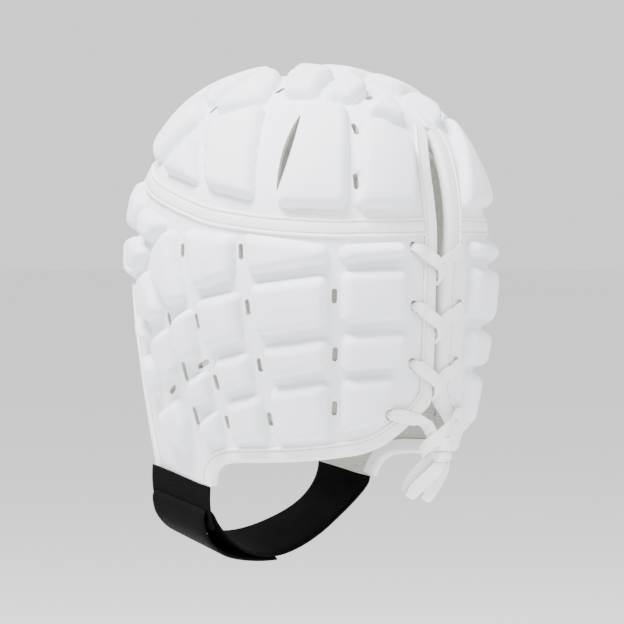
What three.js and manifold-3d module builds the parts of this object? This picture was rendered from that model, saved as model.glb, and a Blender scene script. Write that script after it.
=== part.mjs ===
// Rugby scrum cap: padded crown, padded side panel, seam tape, bound edges, rear lacing and chin strap.
// Millimetres, +Z up. The face looks along -Y, the lacing is at +Y, the wearer's left is +X.
// The origin is the inside of the crown's apex, where the top of a head seats.
//
// A place on the cap is a bearing and a level. The bearing goes round the head in degrees: 0 is the
// middle of the back, 90 the wearer's left, 180 the middle of the face. The level counts the rows of
// the HEAD table: 0 at the apex, 11 at the lower edge.

import * as THREE from 'three';
import Module from 'manifold-3d';
import { mergeVertices } from 'three/addons/utils/BufferGeometryUtils.js';

// Head form, measured on the fabric between the pads
const HALF_WIDTH = 88;
const BACK_REACH = 102;
const FRONT_REACH = 95;
const DEPTH = 208.5;
const WALL = 3.5;

// Pads
const PAD_RISE = 7;
const CORNER_CUT = 4.5;
const SIDE_SLOPE = 3;
const PAD_ROOT = 1.9;
const LARGE_PAD = 24;

// Tapes, bindings, laces and strap
const CLEAR = 0.3;
const TAPE = 1.1;
const SEAM_TAPE_WIDTH = 10;
const SEAM_START = 8.6;
const SEAM_STEPS = 38;
const CHORD_ROOM = 0.5;
const INNER_ROOM = 1.7;
const SLIT_LEG = 10;
const EDGE_LEG = 6.5;
const INNER_LEG = 5;
const LACE_WIDTH = 6;
const LACE_THICK = 1.5;
const EYELET_RADIUS = 2.6;
const VENT_WIDTH = 3;
const WEB = 2.2;
const STRAP_WIDTH = 40;
const STRAP_SET_BACK = 5;
const STRAP_DROP = 50;
const STRAP_TILT = 10;
const SLOT_RIM = 2.5;
const SLOT_ROOM = 0.6;

// How far the crown is turned round the head, in degrees, and the levels where the turn starts and ends
const CROWN_TURN = -8;
const TURN_FROM = 4.0;
const TURN_TO = 5.6;

// Sections of the head form. drop is a share of DEPTH, width, back and front are shares of the
// half width and the two reaches, and the powers round the plan's corners at the back and the front.
const HEAD = [
  { drop: 0.000, width: 0.000, back: 0.000, front: 0.000, backPower: 2.30, frontPower: 2.00 },
  { drop: 0.010, width: 0.230, back: 0.240, front: 0.240, backPower: 2.30, frontPower: 2.00 },
  { drop: 0.040, width: 0.445, back: 0.485, front: 0.470, backPower: 2.32, frontPower: 2.00 },
  { drop: 0.095, width: 0.640, back: 0.695, front: 0.670, backPower: 2.35, frontPower: 2.00 },
  { drop: 0.180, width: 0.810, back: 0.850, front: 0.830, backPower: 2.35, frontPower: 2.00 },
  { drop: 0.285, width: 0.930, back: 0.945, front: 0.940, backPower: 2.35, frontPower: 2.00 },
  { drop: 0.400, width: 0.985, back: 0.990, front: 0.990, backPower: 2.35, frontPower: 2.00 },
  { drop: 0.520, width: 1.000, back: 1.000, front: 1.000, backPower: 2.35, frontPower: 2.00 },
  { drop: 0.640, width: 0.965, back: 0.995, front: 0.985, backPower: 2.28, frontPower: 2.10 },
  { drop: 0.760, width: 0.900, back: 0.980, front: 0.960, backPower: 2.15, frontPower: 2.25 },
  { drop: 0.880, width: 0.825, back: 0.960, front: 0.930, backPower: 2.05, frontPower: 2.45 },
  { drop: 1.000, width: 0.750, back: 0.935, front: 0.900, backPower: 2.00, frontPower: 2.70 },
  { drop: 1.120, width: 0.695, back: 0.910, front: 0.870, backPower: 2.00, frontPower: 2.90 },
];
const HEAD_KEYS = Object.keys(HEAD[0]);

// Level of the seam between crown and side panel, by bearing from the back
const SEAM = [
  { bearing: 0, level: 5.93 },
  { bearing: 37, level: 5.98 },
  { bearing: 58, level: 5.89 },
  { bearing: 80, level: 5.71 },
  { bearing: 102, level: 5.33 },
  { bearing: 118, level: 5.08 },
  { bearing: 135, level: 4.77 },
  { bearing: 155, level: 4.57 },
  { bearing: 180, level: 4.50 },
];

// Level of the lower edge: notch at the lacing, ear line, cheek tab, face opening and brow
const EDGE = [
  { bearing: 0, level: 9.62 },
  { bearing: 3.5, level: 9.74 },
  { bearing: 8, level: 9.97 },
  { bearing: 13, level: 10.25 },
  { bearing: 18, level: 10.50 },
  { bearing: 25, level: 10.68 },
  { bearing: 35, level: 10.78 },
  { bearing: 46, level: 10.85 },
  { bearing: 62, level: 10.89 },
  { bearing: 76, level: 10.91 },
  { bearing: 84, level: 10.96 },
  { bearing: 89, level: 11.04 },
  { bearing: 92.5, level: 11.16 },
  { bearing: 95, level: 11.34 },
  { bearing: 96.2, level: 11.56 },
  { bearing: 106, level: 11.50 },
  { bearing: 116, level: 11.40 },
  { bearing: 126, level: 11.29 },
  { bearing: 134, level: 11.18 },
  { bearing: 134.5, level: 10.30 },
  { bearing: 135, level: 9.40 },
  { bearing: 135.5, level: 8.50 },
  { bearing: 137.5, level: 7.70 },
  { bearing: 141, level: 7.30 },
  { bearing: 149, level: 7.04 },
  { bearing: 162, level: 7.00 },
  { bearing: 180, level: 7.00 },
];

// Bearings of the side panel's columns, shared by what is sewn along its lower edge
const SIDE_COLUMNS = [4, 9, 14, 19, 28, 40, 54, 70, 84, 90, 94, 96.2, 108, 120, 128, 134, 134.5, 135, 135.5,
  138, 143, 160];
const TAB_REAR = 96.2;
const TAB_FRONT = 134;

// Rear slit: half width of the gap in the padded fabric, by level, and the levels of its stations
const SLIT = [
  { level: 3.50, half: 1.0 },
  { level: 3.72, half: 2.2 },
  { level: 4.20, half: 3.9 },
  { level: 4.80, half: 4.7 },
  { level: 5.50, half: 4.6 },
  { level: 6.20, half: 4.0 },
  { level: 7.00, half: 3.7 },
  { level: 9.00, half: 3.7 },
  { level: 9.80, half: 3.9 },
];
const SLIT_STEPS = [3.5, 3.72, 4.05, 4.45, 4.85, 5.3, 5.75, 6.3, 7.0, 7.8, 8.6, 9.35, 9.8];

// Crown pads of the left half, before the crown's turn: corners as bearing, level pairs
const CROWN_PADS = [
  { name: 'nape', corners: [31, 3.40, 21, 3.45, 12.5, 4.10, 9.5, 5.58, 29, 5.55] },
  { name: 'rear quarter', corners: [49, 2.95, 34, 3.05, 32, 5.55, 53, 5.52] },
  { name: 'side', corners: [102, 3.50, 72, 2.98, 62, 5.37, 83.5, 5.10] },
  { name: 'temple', corners: [106, 3.85, 88.5, 5.05, 115, 4.72] },
  { name: 'front slant', corners: [112, 3.35, 125, 4.55, 138, 4.30, 145, 4.05, 138, 2.95, 121, 2.90] },
  { name: 'front', corners: [153, 1.35, 143, 2.60, 150, 4.05, 175, 4.10, 168, 1.30] },
  { name: 'top side', corners: [73, 1.60, 74, 2.85, 103, 3.25, 138, 2.55, 150, 1.00, 110, 0.60] },
  { name: 'top middle', corners: [47, 2.60, 66, 2.60, 69, 1.20, 105, 0.30, 12, 1.05] },
  { name: 'top rear', corners: [43, 2.70, 30, 2.85, 14, 2.25, 8, 1.38] },
  { name: 'slit head', corners: [27, 3.15, 11, 3.55, 7, 2.40, 15, 2.60] },
];

// Side panel pads of the left half, row by row from the back towards the face
const SIDE_PADS = [
  { name: 'A1', corners: [33.5, 6.35, 14, 6.28, 13.5, 6.60, 33.5, 6.71] },
  { name: 'A2', corners: [33.5, 6.90, 14, 6.83, 13, 7.88, 33.5, 7.98] },
  { name: 'A3', corners: [33, 8.22, 13.5, 8.15, 13, 8.88, 33, 8.95] },
  { name: 'A4', corners: [32.5, 9.15, 15, 9.08, 20, 10.05, 31.5, 10.27] },
  { name: 'B1', corners: [64.5, 6.10, 38, 6.36, 37.5, 6.68, 61.5, 6.94] },
  { name: 'B2', corners: [61.5, 7.17, 38, 6.96, 37.5, 8.00, 59.5, 8.22] },
  { name: 'B3', corners: [58.5, 8.47, 37, 8.27, 37, 8.92, 55.5, 9.15] },
  { name: 'B4', corners: [56.5, 9.38, 36.5, 9.18, 36, 10.40, 54.5, 10.48] },
  { name: 'C1', corners: [90.5, 6.03, 68, 6.15, 68, 7.00, 83.5, 7.29] },
  { name: 'C2', corners: [84, 7.51, 66.5, 7.32, 66, 8.30, 81.5, 8.56] },
  { name: 'C3', corners: [79, 8.76, 64, 8.60, 63, 9.23, 77, 9.48] },
  { name: 'C4', corners: [76, 9.66, 61, 9.50, 59, 10.42, 75, 10.54] },
  { name: 'D1', corners: [100, 6.05, 94.5, 6.10, 89, 7.45, 97.5, 7.68, 107, 7.05, 107, 6.50] },
  { name: 'D2', corners: [97, 7.90, 88, 7.68, 87, 8.68, 94.5, 8.88, 99.5, 8.50] },
  { name: 'D3', corners: [94.5, 9.20, 84.5, 9.02, 84, 9.60, 92, 9.80, 96.5, 9.62] },
  { name: 'D4', corners: [91.5, 10.05, 82.5, 9.87, 81, 10.42, 90, 10.55, 94.5, 10.40] },
  { name: 'E1', corners: [121, 5.55, 101, 5.87, 109, 6.33, 118, 6.15] },
  { name: 'E2', corners: [110.5, 6.85, 107, 7.25, 103, 7.75, 111, 8.05, 119, 7.85, 120.5, 7.20] },
  { name: 'E3', corners: [101.5, 8.12, 100.3, 9.03, 105, 9.27, 111, 9.05, 113, 8.55, 110, 8.28] },
  { name: 'E4', corners: [104, 9.62, 100, 10.22, 105.5, 10.80, 116, 10.62, 119, 9.98] },
  { name: 'F0', corners: [139, 5.10, 125, 5.32, 123.5, 5.60, 126, 6.00, 139, 6.02] },
  { name: 'F1', corners: [123, 6.20, 112, 6.50, 120, 6.95, 131, 6.85, 132, 6.20] },
  { name: 'F2', corners: [129, 7.60, 121, 8.10, 117, 8.28, 120, 8.42, 129, 8.25] },
  { name: 'F3', corners: [121, 8.62, 114.5, 8.95, 115.5, 9.45, 121.5, 9.72, 126.5, 9.40, 126, 8.82] },
  { name: 'G0', corners: [155, 4.92, 143, 5.02, 143, 6.00, 155, 5.97], plain: true },
  { name: 'G1', corners: [152, 6.20, 136, 6.22, 134.5, 6.85, 141, 6.92, 151, 6.62] },
  { name: 'H0', corners: [176, 4.88, 159, 4.90, 158.5, 5.95, 176, 5.95], plain: true },
  { name: 'H1', corners: [176, 6.15, 156, 6.18, 156, 6.60, 176, 6.60], plain: true },
];

// Slots through the channels of the left half: place, length and lean from upright in degrees
const CROWN_VENTS = [
  { bearing: 33, level: 3.62, length: 8, lean: 0 },
  { bearing: 31, level: 4.94, length: 9, lean: 0 },
  { bearing: 17.5, level: 2.50, length: 7, lean: 60 },
  { bearing: 69, level: 2.10, length: 7, lean: 25 },
  { bearing: 93, level: 4.46, length: 8, lean: 10 },
  { bearing: 112, level: 2.95, length: 7, lean: -10 },
];
const SIDE_VENTS = [
  { bearing: 65.8, level: 6.47, length: 9, lean: 4 },
  { bearing: 63.5, level: 7.64, length: 9, lean: 4 },
  { bearing: 60.5, level: 8.87, length: 9, lean: 4 },
  { bearing: 57.8, level: 10.02, length: 9, lean: 4 },
  { bearing: 35.5, level: 7.39, length: 9, lean: 0 },
  { bearing: 34.8, level: 8.62, length: 9, lean: 0 },
  { bearing: 34.2, level: 9.77, length: 9, lean: 0 },
  { bearing: 91.8, level: 6.46, length: 9, lean: 6 },
  { bearing: 85.6, level: 7.96, length: 9, lean: 6 },
  { bearing: 81.0, level: 9.26, length: 9, lean: 8 },
  { bearing: 78.3, level: 10.12, length: 8, lean: 8 },
  { bearing: 101.5, level: 7.92, length: 8, lean: 6 },
  { bearing: 87.0, level: 8.91, length: 10, lean: 68 },
  { bearing: 97.8, level: 9.06, length: 12, lean: 4 },
  { bearing: 107, level: 9.46, length: 7, lean: 35 },
  { bearing: 96.8, level: 10.02, length: 10, lean: 4 },
];

// Long open darts in the crown: upper and lower end, and half width in the middle
const DARTS = [
  { bearing: 58.5, from: 3.15, to: 5.20, half: 2.3 },
];

// Eyelets: the same place on both sides of the slit
const EYELETS = [
  { bearing: 10.3, level: 6.37 },
  { bearing: 10.0, level: 7.61 },
  { bearing: 9.8, level: 8.83 },
  { bearing: 16.3, level: 9.92 },
];

// Bow: where its knot hangs from the notch below the lacing, its half sizes, and how far it faces left
const KNOT = { aside: -1.5, back: 1.2, down: 26.5, wide: 8.6, deep: 5.2, tall: 5.6, taper: 0.78 };
const BOW_TURN = 45;
const TIE_END = 4.4;
const TIES = {
  left: { right: -4.2, out: 4.0, seatRight: -3.0, seatOut: 0.9 },
  right: { right: 5.0, out: -1.5, seatRight: 2.4, seatOut: 0.4 },
};

// Bow loops, measured from the knot's middle as the bow faces
const LEFT_LOOP = [
  { right: 1.0, down: 5.9, out: 1.7, width: 4.6 },
  { right: 1.0, down: 7.6, out: 1.7, width: 5.2 },
  { right: -0.9, down: 10.7, out: 2.0, width: 6 },
  { right: -5.8, down: 15.5, out: 2.0, width: 6 },
  { right: -12.3, down: 20.9, out: 1.7, width: 6 },
  { right: -17.4, down: 24.4, out: 0.0, width: 6 },
  { right: -15.8, down: 20.6, out: -1.7, width: 6 },
  { right: -12.6, down: 15.4, out: -2.0, width: 6 },
  { right: -8.4, down: 10.4, out: -2.0, width: 6 },
  { right: -4.2, down: 7.6, out: -1.6, width: 5.2 },
  { right: -4.2, down: 5.9, out: -1.6, width: 4.6 },
];
const RIGHT_LOOP = [
  { right: 2.9, down: 5.9, out: -0.6, width: 4.6 },
  { right: 2.9, down: 7.6, out: -0.6, width: 5.2 },
  { right: 1.8, down: 10.7, out: -0.6, width: 6 },
  { right: -0.8, down: 15.7, out: -0.6, width: 6 },
  { right: -4.4, down: 21.8, out: -0.8, width: 6 },
  { right: -7.8, down: 27.2, out: -2.2, width: 6 },
  { right: -6.4, down: 21.8, out: -3.6, width: 6 },
  { right: -2.8, down: 15.7, out: -3.8, width: 6 },
  { right: 0.4, down: 10.7, out: -3.6, width: 6 },
  { right: 1.8, down: 7.6, out: -3.0, width: 5.2 },
  { right: 1.8, down: 5.9, out: -3.0, width: 4.6 },
];

// Webs of the chin strap. side is a share of the tabs' half width, drop a share of STRAP_DROP below
// the tabs' lower edges, and tilt a share of STRAP_TILT, by which the face edge is the higher one.
// The left web is sewn edge to edge to the cheek tab and ends in a bar below its slot.
const LEFT_WEB = [
  { side: 1.008, drop: 0.027, tilt: 0.96 },
  { side: 1.012, drop: 0.135, tilt: 0.96 },
  { side: 1.004, drop: 0.255, tilt: 0.98 },
  { side: 0.981, drop: 0.375, tilt: 1.00 },
  { side: 0.957, drop: 0.455, tilt: 1.00 },
];

// The strap: right cheek, under the chin, up the inside, out through the slot and back down outside
const STRAP = [
  { side: -1.002, drop: 0.023, tilt: 0.80 },
  { side: -0.981, drop: 0.115, tilt: 0.50 },
  { side: -0.910, drop: 0.235, tilt: 0.20 },
  { side: -0.782, drop: 0.365, tilt: 0.10 },
  { side: -0.606, drop: 0.495, tilt: 0.25 },
  { side: -0.383, drop: 0.625, tilt: 0.60 },
  { side: -0.128, drop: 0.731, tilt: 0.90 },
  { side: 0.128, drop: 0.787, tilt: 1.10 },
  { side: 0.367, drop: 0.771, tilt: 1.20 },
  { side: 0.574, drop: 0.687, tilt: 1.20 },
  { side: 0.750, drop: 0.555, tilt: 1.10 },
  { side: 0.870, drop: 0.415, tilt: 1.02 },
  { side: 0.919, drop: 0.327, tilt: 1.00 },
  { side: 0.961, drop: 0.283, tilt: 0.98 },
  { side: 1.015, drop: 0.275, tilt: 0.98 },
  { side: 1.060, drop: 0.311, tilt: 0.98 },
  { side: 1.063, drop: 0.395, tilt: 1.02 },
  { side: 1.021, drop: 0.525, tilt: 1.10 },
  { side: 0.918, drop: 0.655, tilt: 1.16 },
  { side: 0.750, drop: 0.767, tilt: 1.20 },
  { side: 0.543, drop: 0.851, tilt: 1.20 },
  { side: 0.319, drop: 0.887, tilt: 1.16 },
  { side: 0.144, drop: 0.883, tilt: 1.10 },
];
const SLOT_ROWS = [11, 17];

const rad = (degrees) => degrees * Math.PI / 180;

const clamp01 = (x) => Math.min(Math.max(x, 0), 1);

// Value of column `value` at `at` in a table sorted by column `key`, in straight steps
function along(table, key, value, at) {
  let i = 0;
  while (i < table.length - 2 && table[i + 1][key] < at) i += 1;
  const a = table[i];
  const b = table[i + 1];
  const share = clamp01((at - a[key]) / (b[key] - a[key]));
  return a[value] + (b[value] - a[value]) * share;
}

// The HEAD table at a level between its rows, through a Catmull-Rom curve, mirrored over the apex
function section(level) {
  const last = HEAD.length - 1;
  const i = Math.min(Math.floor(level), last - 1);
  const u = level - i;
  const row = {};
  for (const key of HEAD_KEYS) {
    const flip = key === 'width' || key === 'back' || key === 'front' ? -1 : 1;
    const p1 = HEAD[i][key];
    const p2 = HEAD[i + 1][key];
    const p0 = i > 0 ? HEAD[i - 1][key] : flip * HEAD[1][key];
    const p3 = i < last - 1 ? HEAD[i + 2][key] : 2 * p2 - p1;
    const slope = (p2 - p0) * u;
    const bend = (2 * p0 - 5 * p1 + 4 * p2 - p3) * u * u;
    const twist = (3 * p1 - p0 - 3 * p2 + p3) * u * u * u;
    row[key] = 0.5 * (2 * p1 + slope + bend + twist);
  }
  return row;
}

// Point of the outer fabric at a bearing and a level
function form(bearing, level) {
  const row = section(level);
  const c = Math.cos(rad(bearing));
  const s = Math.sin(rad(bearing));
  const reach = c >= 0 ? row.back * BACK_REACH : row.front * FRONT_REACH;
  const power = c >= 0 ? row.backPower : row.frontPower;
  const side = Math.abs(s) / Math.max(row.width * HALF_WIDTH, 1e-9);
  const fore = Math.abs(c) / Math.max(reach, 1e-9);
  const r = (side ** power + fore ** power) ** (-1 / power);
  return new THREE.Vector3(r * s, r * c, WALL - row.drop * DEPTH);
}

// Outward normal of the fabric
function facing(bearing, level) {
  const l = Math.max(level, 0.05);
  const round = form(bearing + 0.05, l).sub(form(bearing - 0.05, l));
  const down = form(bearing, l + 0.01).sub(form(bearing, l - 0.01));
  return round.cross(down).normalize();
}

// Point `lift` above the outer fabric
function skin(bearing, level, lift) {
  return form(bearing, level).addScaledVector(facing(bearing, level), lift);
}

// The crown's turn at a level
function turn(level) {
  const x = clamp01((TURN_TO - level) / (TURN_TO - TURN_FROM));
  return CROWN_TURN * x * x * (3 - 2 * x);
}

// Bearing at which a point lies `across` mm to the left of the slit's middle
function slitBearing(level, across) {
  const r = form(0, level).y;
  return turn(level) + Math.atan2(across, r) * 180 / Math.PI;
}

// A mesh from points and triangles, turned inside out if it encloses a negative volume
function mesh(points, triangles) {
  let volume = 0;
  const cross = new THREE.Vector3();
  for (const [a, b, c] of triangles) {
    cross.crossVectors(points[b], points[c]);
    volume += points[a].dot(cross);
  }
  const index = [];
  for (const [a, b, c] of triangles) {
    if (volume < 0) index.push(a, c, b);
    else index.push(a, b, c);
  }
  const geometry = new THREE.BufferGeometry();
  const flat = points.flatMap((p) => [p.x, p.y, p.z]);
  geometry.setAttribute('position', new THREE.Float32BufferAttribute(flat, 3));
  geometry.setIndex(index);
  return geometry;
}

// Skin over a row of rings with the same number of points. ends is 'loop' when the last ring meets
// the first, else a pair: a middle point, or a list of triangles over the ring.
function loft(rings, ends) {
  const n = rings[0].length;
  const points = rings.flat().map((p) => p.clone());
  const triangles = [];
  const bands = ends === 'loop' ? rings.length : rings.length - 1;
  for (let i = 0; i < bands; i += 1) {
    const j = (i + 1) % rings.length;
    for (let k = 0; k < n; k += 1) {
      const m = (k + 1) % n;
      triangles.push([i * n + k, i * n + m, j * n + k]);
      triangles.push([i * n + m, j * n + m, j * n + k]);
    }
  }
  if (ends !== 'loop') {
    ends.forEach((end, which) => {
      const base = which === 0 ? 0 : (rings.length - 1) * n;
      const flip = which === 0;
      const put = (a, b, c) => triangles.push(flip ? [a, c, b] : [a, b, c]);
      if (end.isVector3) {
        points.push(end.clone());
        const middle = points.length - 1;
        for (let k = 0; k < n; k += 1) put(base + k, base + (k + 1) % n, middle);
      } else {
        for (const [a, b, c] of end) put(base + a, base + b, base + c);
      }
    });
  }
  return mesh(points, triangles);
}

// Triangles over a flat outline given as x, y pairs
function cover(outline) {
  const contour = outline.map(([x, y]) => new THREE.Vector2(x, y));
  const ccw = THREE.ShapeUtils.area(contour) > 0;
  const faces = THREE.ShapeUtils.triangulateShape(ccw ? contour : contour.slice().reverse(), []);
  const last = outline.length - 1;
  return faces.map((f) => (ccw ? f : [last - f[0], last - f[2], last - f[1]]));
}

// A band of any section along stations: each station has a place, an outward and an across direction,
// and the section is a list of [outward, across] pairs, the same number at every station.
function band(stations) {
  const rings = stations.map((s) => s.outline.map(([out, across]) => (
    s.place.clone().addScaledVector(s.outward, out).addScaledVector(s.across, across)
  )));
  const first = cover(stations[0].outline);
  const last = cover(stations[stations.length - 1].outline);
  return loft(rings, [first, last]);
}

// Rounded flat section of a lace or web
function flatSection(width, thick) {
  const w = width / 2;
  const t = thick / 2;
  const e = Math.min(t, w) * 0.8;
  return [[-t, -w + e], [0, -w], [t, -w + e], [t, w - e], [0, w], [-t, w - e]];
}

const wasm = await Module();
wasm.setup();

// Mesh to solid and back, for joining and cutting
function solid(geometry) {
  const bare = geometry.clone();
  bare.deleteAttribute('normal');
  bare.deleteAttribute('uv');
  const merged = mergeVertices(bare, 1e-4);
  return new wasm.Manifold(new wasm.Mesh({
    numProp: 3,
    vertProperties: new Float32Array(merged.attributes.position.array),
    triVerts: new Uint32Array(merged.index.array),
  }));
}

function unsolid(body) {
  const out = body.getMesh();
  const geometry = new THREE.BufferGeometry();
  geometry.setAttribute('position', new THREE.BufferAttribute(new Float32Array(out.vertProperties), 3));
  geometry.setIndex(new THREE.BufferAttribute(new Uint32Array(out.triVerts), 1));
  return geometry;
}

// Closed ring of points round the head at the levels that `level` gives for each bearing
function hoop(bearings, level, lift) {
  return bearings.map((b) => skin(b, level(b), lift));
}

// Pad: four or fewer corners are cut, its sides slope in and its top is crowned
function pad(row, polar, side, rise) {
  const { corners } = row;
  const flatten = ([b, l]) => (polar ? [l * Math.sin(rad(b)), l * Math.cos(rad(b))] : [b, l]);
  const bearingOf = ([x, y]) => Math.atan2(x, y) * 180 / Math.PI;
  const unflatten = (q) => (polar ? [bearingOf(q), Math.hypot(q[0], q[1])] : q);
  const spot = (q, lift) => {
    const [b, l] = unflatten(q);
    const bearing = side * b + (polar ? turn(l) : 0);
    return skin(bearing, l, lift);
  };
  const mix = (p, q, share) => [p[0] + (q[0] - p[0]) * share, p[1] + (q[1] - p[1]) * share];
  const polygon = [];
  for (let i = 0; i < corners.length; i += 2) polygon.push(flatten([corners[i], corners[i + 1]]));
  const outline = [];
  polygon.forEach((corner, i) => {
    const before = polygon[(i + polygon.length - 1) % polygon.length];
    const after = polygon[(i + 1) % polygon.length];
    if (polygon.length > 4 || row.plain) {
      outline.push(corner);
      return;
    }
    for (const other of [before, after]) {
      const length = spot(corner, 0).distanceTo(spot(other, 0));
      outline.push(mix(corner, other, Math.min(CORNER_CUT / length, 0.38)));
    }
  });
  const count = outline.length;
  const middle = [0, 1].map((k) => outline.reduce((sum, q) => sum + q[k], 0) / count);
  const inset = (q, by) => mix(q, middle, Math.min(by / spot(q, 0).distanceTo(spot(middle, 0)), 0.6));
  const radius = outline.reduce((sum, q) => sum + spot(q, 0).distanceTo(spot(middle, 0)), 0) / count;
  const large = radius > LARGE_PAD;
  const halfway = (lift) => outline.map((q) => spot(mix(q, middle, 0.5), lift));
  const rings = [
    ...(large ? [halfway(-PAD_ROOT)] : []),
    outline.map((q) => spot(q, -PAD_ROOT)),
    outline.map((q) => spot(inset(q, SIDE_SLOPE), rise * 0.95)),
    ...(large ? [halfway(rise)] : []),
  ];
  const root = large ? spot(middle, -PAD_ROOT) : cover(outline);
  const top = large ? spot(middle, rise) : cover(outline);
  return loft(rings, [root, top]);
}

// Slot through the wall at a place, leaning from the upright
function slot(place, polar, side) {
  const bearing = side * place.bearing + (polar ? turn(place.level) : 0);
  const centre = form(bearing, place.level);
  const out = facing(bearing, place.level);
  const down = form(bearing, place.level + 0.02).sub(centre).normalize();
  const round = new THREE.Vector3().crossVectors(out, down);
  const lean = rad(place.lean * side);
  const long = down.clone().multiplyScalar(Math.cos(lean)).addScaledVector(round, -Math.sin(lean));
  const wide = new THREE.Vector3().crossVectors(out, long);
  const w = (place.width ?? VENT_WIDTH) / 2;
  const l = place.length / 2;
  const outline = place.round
    ? [[-w, -l * 0.5], [0, -l], [w, -l * 0.5], [w, l * 0.5], [0, l], [-w, l * 0.5]]
    : [[-w, -l], [w, -l], [w, l], [-w, l]];
  const ring = (lift) => outline.map(([x, y]) => (
    centre.clone().addScaledVector(out, lift).addScaledVector(wide, x).addScaledVector(long, y)
  ));
  const rings = [ring(-2 * WALL), ring(2)];
  return loft(rings, [cover(outline), cover(outline)]);
}

// Wedge that opens the rear slit, from its head to below the lower edge
function slitWedge() {
  const rings = SLIT_STEPS.map((level) => {
    const half = along(SLIT, 'level', 'half', level);
    const left = slitBearing(level, half);
    const right = slitBearing(level, -half);
    return [skin(left, level, -12), skin(right, level, -12), skin(right, level, 12), skin(left, level, 12)];
  });
  const ends = cover([[-1, -1], [1, -1], [1, 1], [-1, 1]]);
  return loft(rings, [ends, ends]);
}

// Leaf-shaped opening of a dart
function dartWedge(dart, side) {
  const steps = 6;
  const rings = [];
  for (let i = 0; i <= steps; i += 1) {
    const level = dart.from + (dart.to - dart.from) * i / steps;
    const half = 0.15 + dart.half * Math.sin(Math.PI * i / steps);
    const r = form(side * dart.bearing, level).setZ(0).length();
    const wide = half / r * 180 / Math.PI;
    const middle = side * dart.bearing + turn(level);
    rings.push([
      skin(middle - wide, level, -8),
      skin(middle + wide, level, -8),
      skin(middle + wide, level, 6),
      skin(middle - wide, level, 6),
    ]);
  }
  const ends = cover([[-1, -1], [1, -1], [1, 1], [-1, 1]]);
  return loft(rings, [ends, ends]);
}

const seamLevel = (bearing) => along(SEAM, 'bearing', 'level', Math.abs(bearing));
const edgeLevel = (bearing) => along(EDGE, 'bearing', 'level', Math.abs(bearing));

// Bearings of the grid's columns: the given left half, its mirror, and both middles
function allRound(half) {
  const left = half.filter((b) => b > 0 && b < 180);
  const right = left.map((b) => -b).reverse();
  return [0, ...left, 180, ...right];
}

// Crown: a dome down to just above the seam, its pads, and its openings cut through
function makeCrown() {
  const bearings = allRound([11, 22, 33, 44, 56, 69, 83, 98, 113, 128, 143, 160]);
  const outer = [0.12, 0.28, 0.43, 0.58, 0.72, 0.86, 1];
  const stop = (b) => seamLevel(b) - 0.03;
  const inner = [1, 0.87, 0.74, 0.6, 0.42, 0.2];
  const rings = [
    ...outer.map((share) => hoop(bearings, (b) => stop(b) * share, 0)),
    ...inner.map((share) => hoop(bearings, (b) => stop(b) * share, -WALL)),
  ];
  let body = solid(loft(rings, [skin(0, 0, 0), skin(0, 0, -WALL)]));
  for (const side of [1, -1]) {
    for (const row of CROWN_PADS) body = body.add(solid(pad(row, true, side, PAD_RISE)));
    for (const row of CROWN_VENTS) body = body.subtract(solid(slot(row, true, side)));
    for (const row of DARTS) body = body.subtract(solid(dartWedge(row, side)));
  }
  return body.subtract(solid(slitWedge()));
}

// Side panel: from just below the seam to the lower edge, round the head, with pads and openings
function makeSidePanel() {
  const bearings = allRound(SIDE_COLUMNS);
  const shares = [0, 0.2, 0.4, 0.6, 0.8, 1];
  const top = (b) => seamLevel(b) + 0.03;
  const at = (share) => (b) => top(b) + (edgeLevel(b) - top(b)) * share;
  const inner = [1, 0.5, 0];
  const rings = [
    ...shares.map((share) => hoop(bearings, at(share), 0)),
    ...inner.map((share) => hoop(bearings, at(share), -WALL)),
  ];
  let body = solid(loft(rings, 'loop'));
  for (const side of [1, -1]) {
    for (const row of SIDE_PADS) body = body.add(solid(pad(row, false, side, PAD_RISE)));
    for (const row of SIDE_VENTS) body = body.subtract(solid(slot(row, false, side)));
    for (const row of EYELETS) {
      const hole = { ...row, width: 2 * EYELET_RADIUS, length: 2.3 * EYELET_RADIUS, lean: 0, round: true };
      body = body.subtract(solid(slot(hole, false, side)));
    }
  }
  return body.subtract(solid(slitWedge()));
}

// Folded binding section over the wall's edge. Across points out of the fabric, past the edge.
function foldSection(outerLeg, innerLeg) {
  const near = CLEAR + CHORD_ROOM;
  const far = near + TAPE;
  const deep = -WALL - INNER_ROOM;
  return [
    [near, -outerLeg], [far, -outerLeg], [far, far], [deep - TAPE, far],
    [deep - TAPE, -innerLeg], [deep, -innerLeg], [deep, near], [near, near],
  ];
}

// Stations of a binding along places on the head form, with the free side on the given hand
function bindingStations(places, hand) {
  return places.map(([bearing, level, outerLeg], i) => {
    const before = places[Math.max(i - 1, 0)];
    const after = places[Math.min(i + 1, places.length - 1)];
    const run = form(after[0], after[1]).sub(form(before[0], before[1])).normalize();
    const outward = facing(bearing, level);
    const across = new THREE.Vector3().crossVectors(run, outward).normalize().multiplyScalar(hand);
    return {
      place: form(bearing, level),
      outward,
      across,
      outline: foldSection(outerLeg, INNER_LEG),
    };
  });
}

// Binding of one side: down the slit, round the notch, along the ear line to the cheek tab's rear end
function makeSideBinding(side) {
  const places = [];
  for (const level of SLIT_STEPS.slice(1, -1)) {
    const half = along(SLIT, 'level', 'half', level);
    places.push([slitBearing(level, side * half), level, SLIT_LEG]);
  }
  places.push([side * 2.25, 9.69, 8]);
  for (const bearing of SIDE_COLUMNS.filter((b) => b <= TAB_REAR)) {
    places.push([side * bearing, edgeLevel(bearing), EDGE_LEG]);
  }
  return band(bindingStations(places, -side));
}

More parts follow.
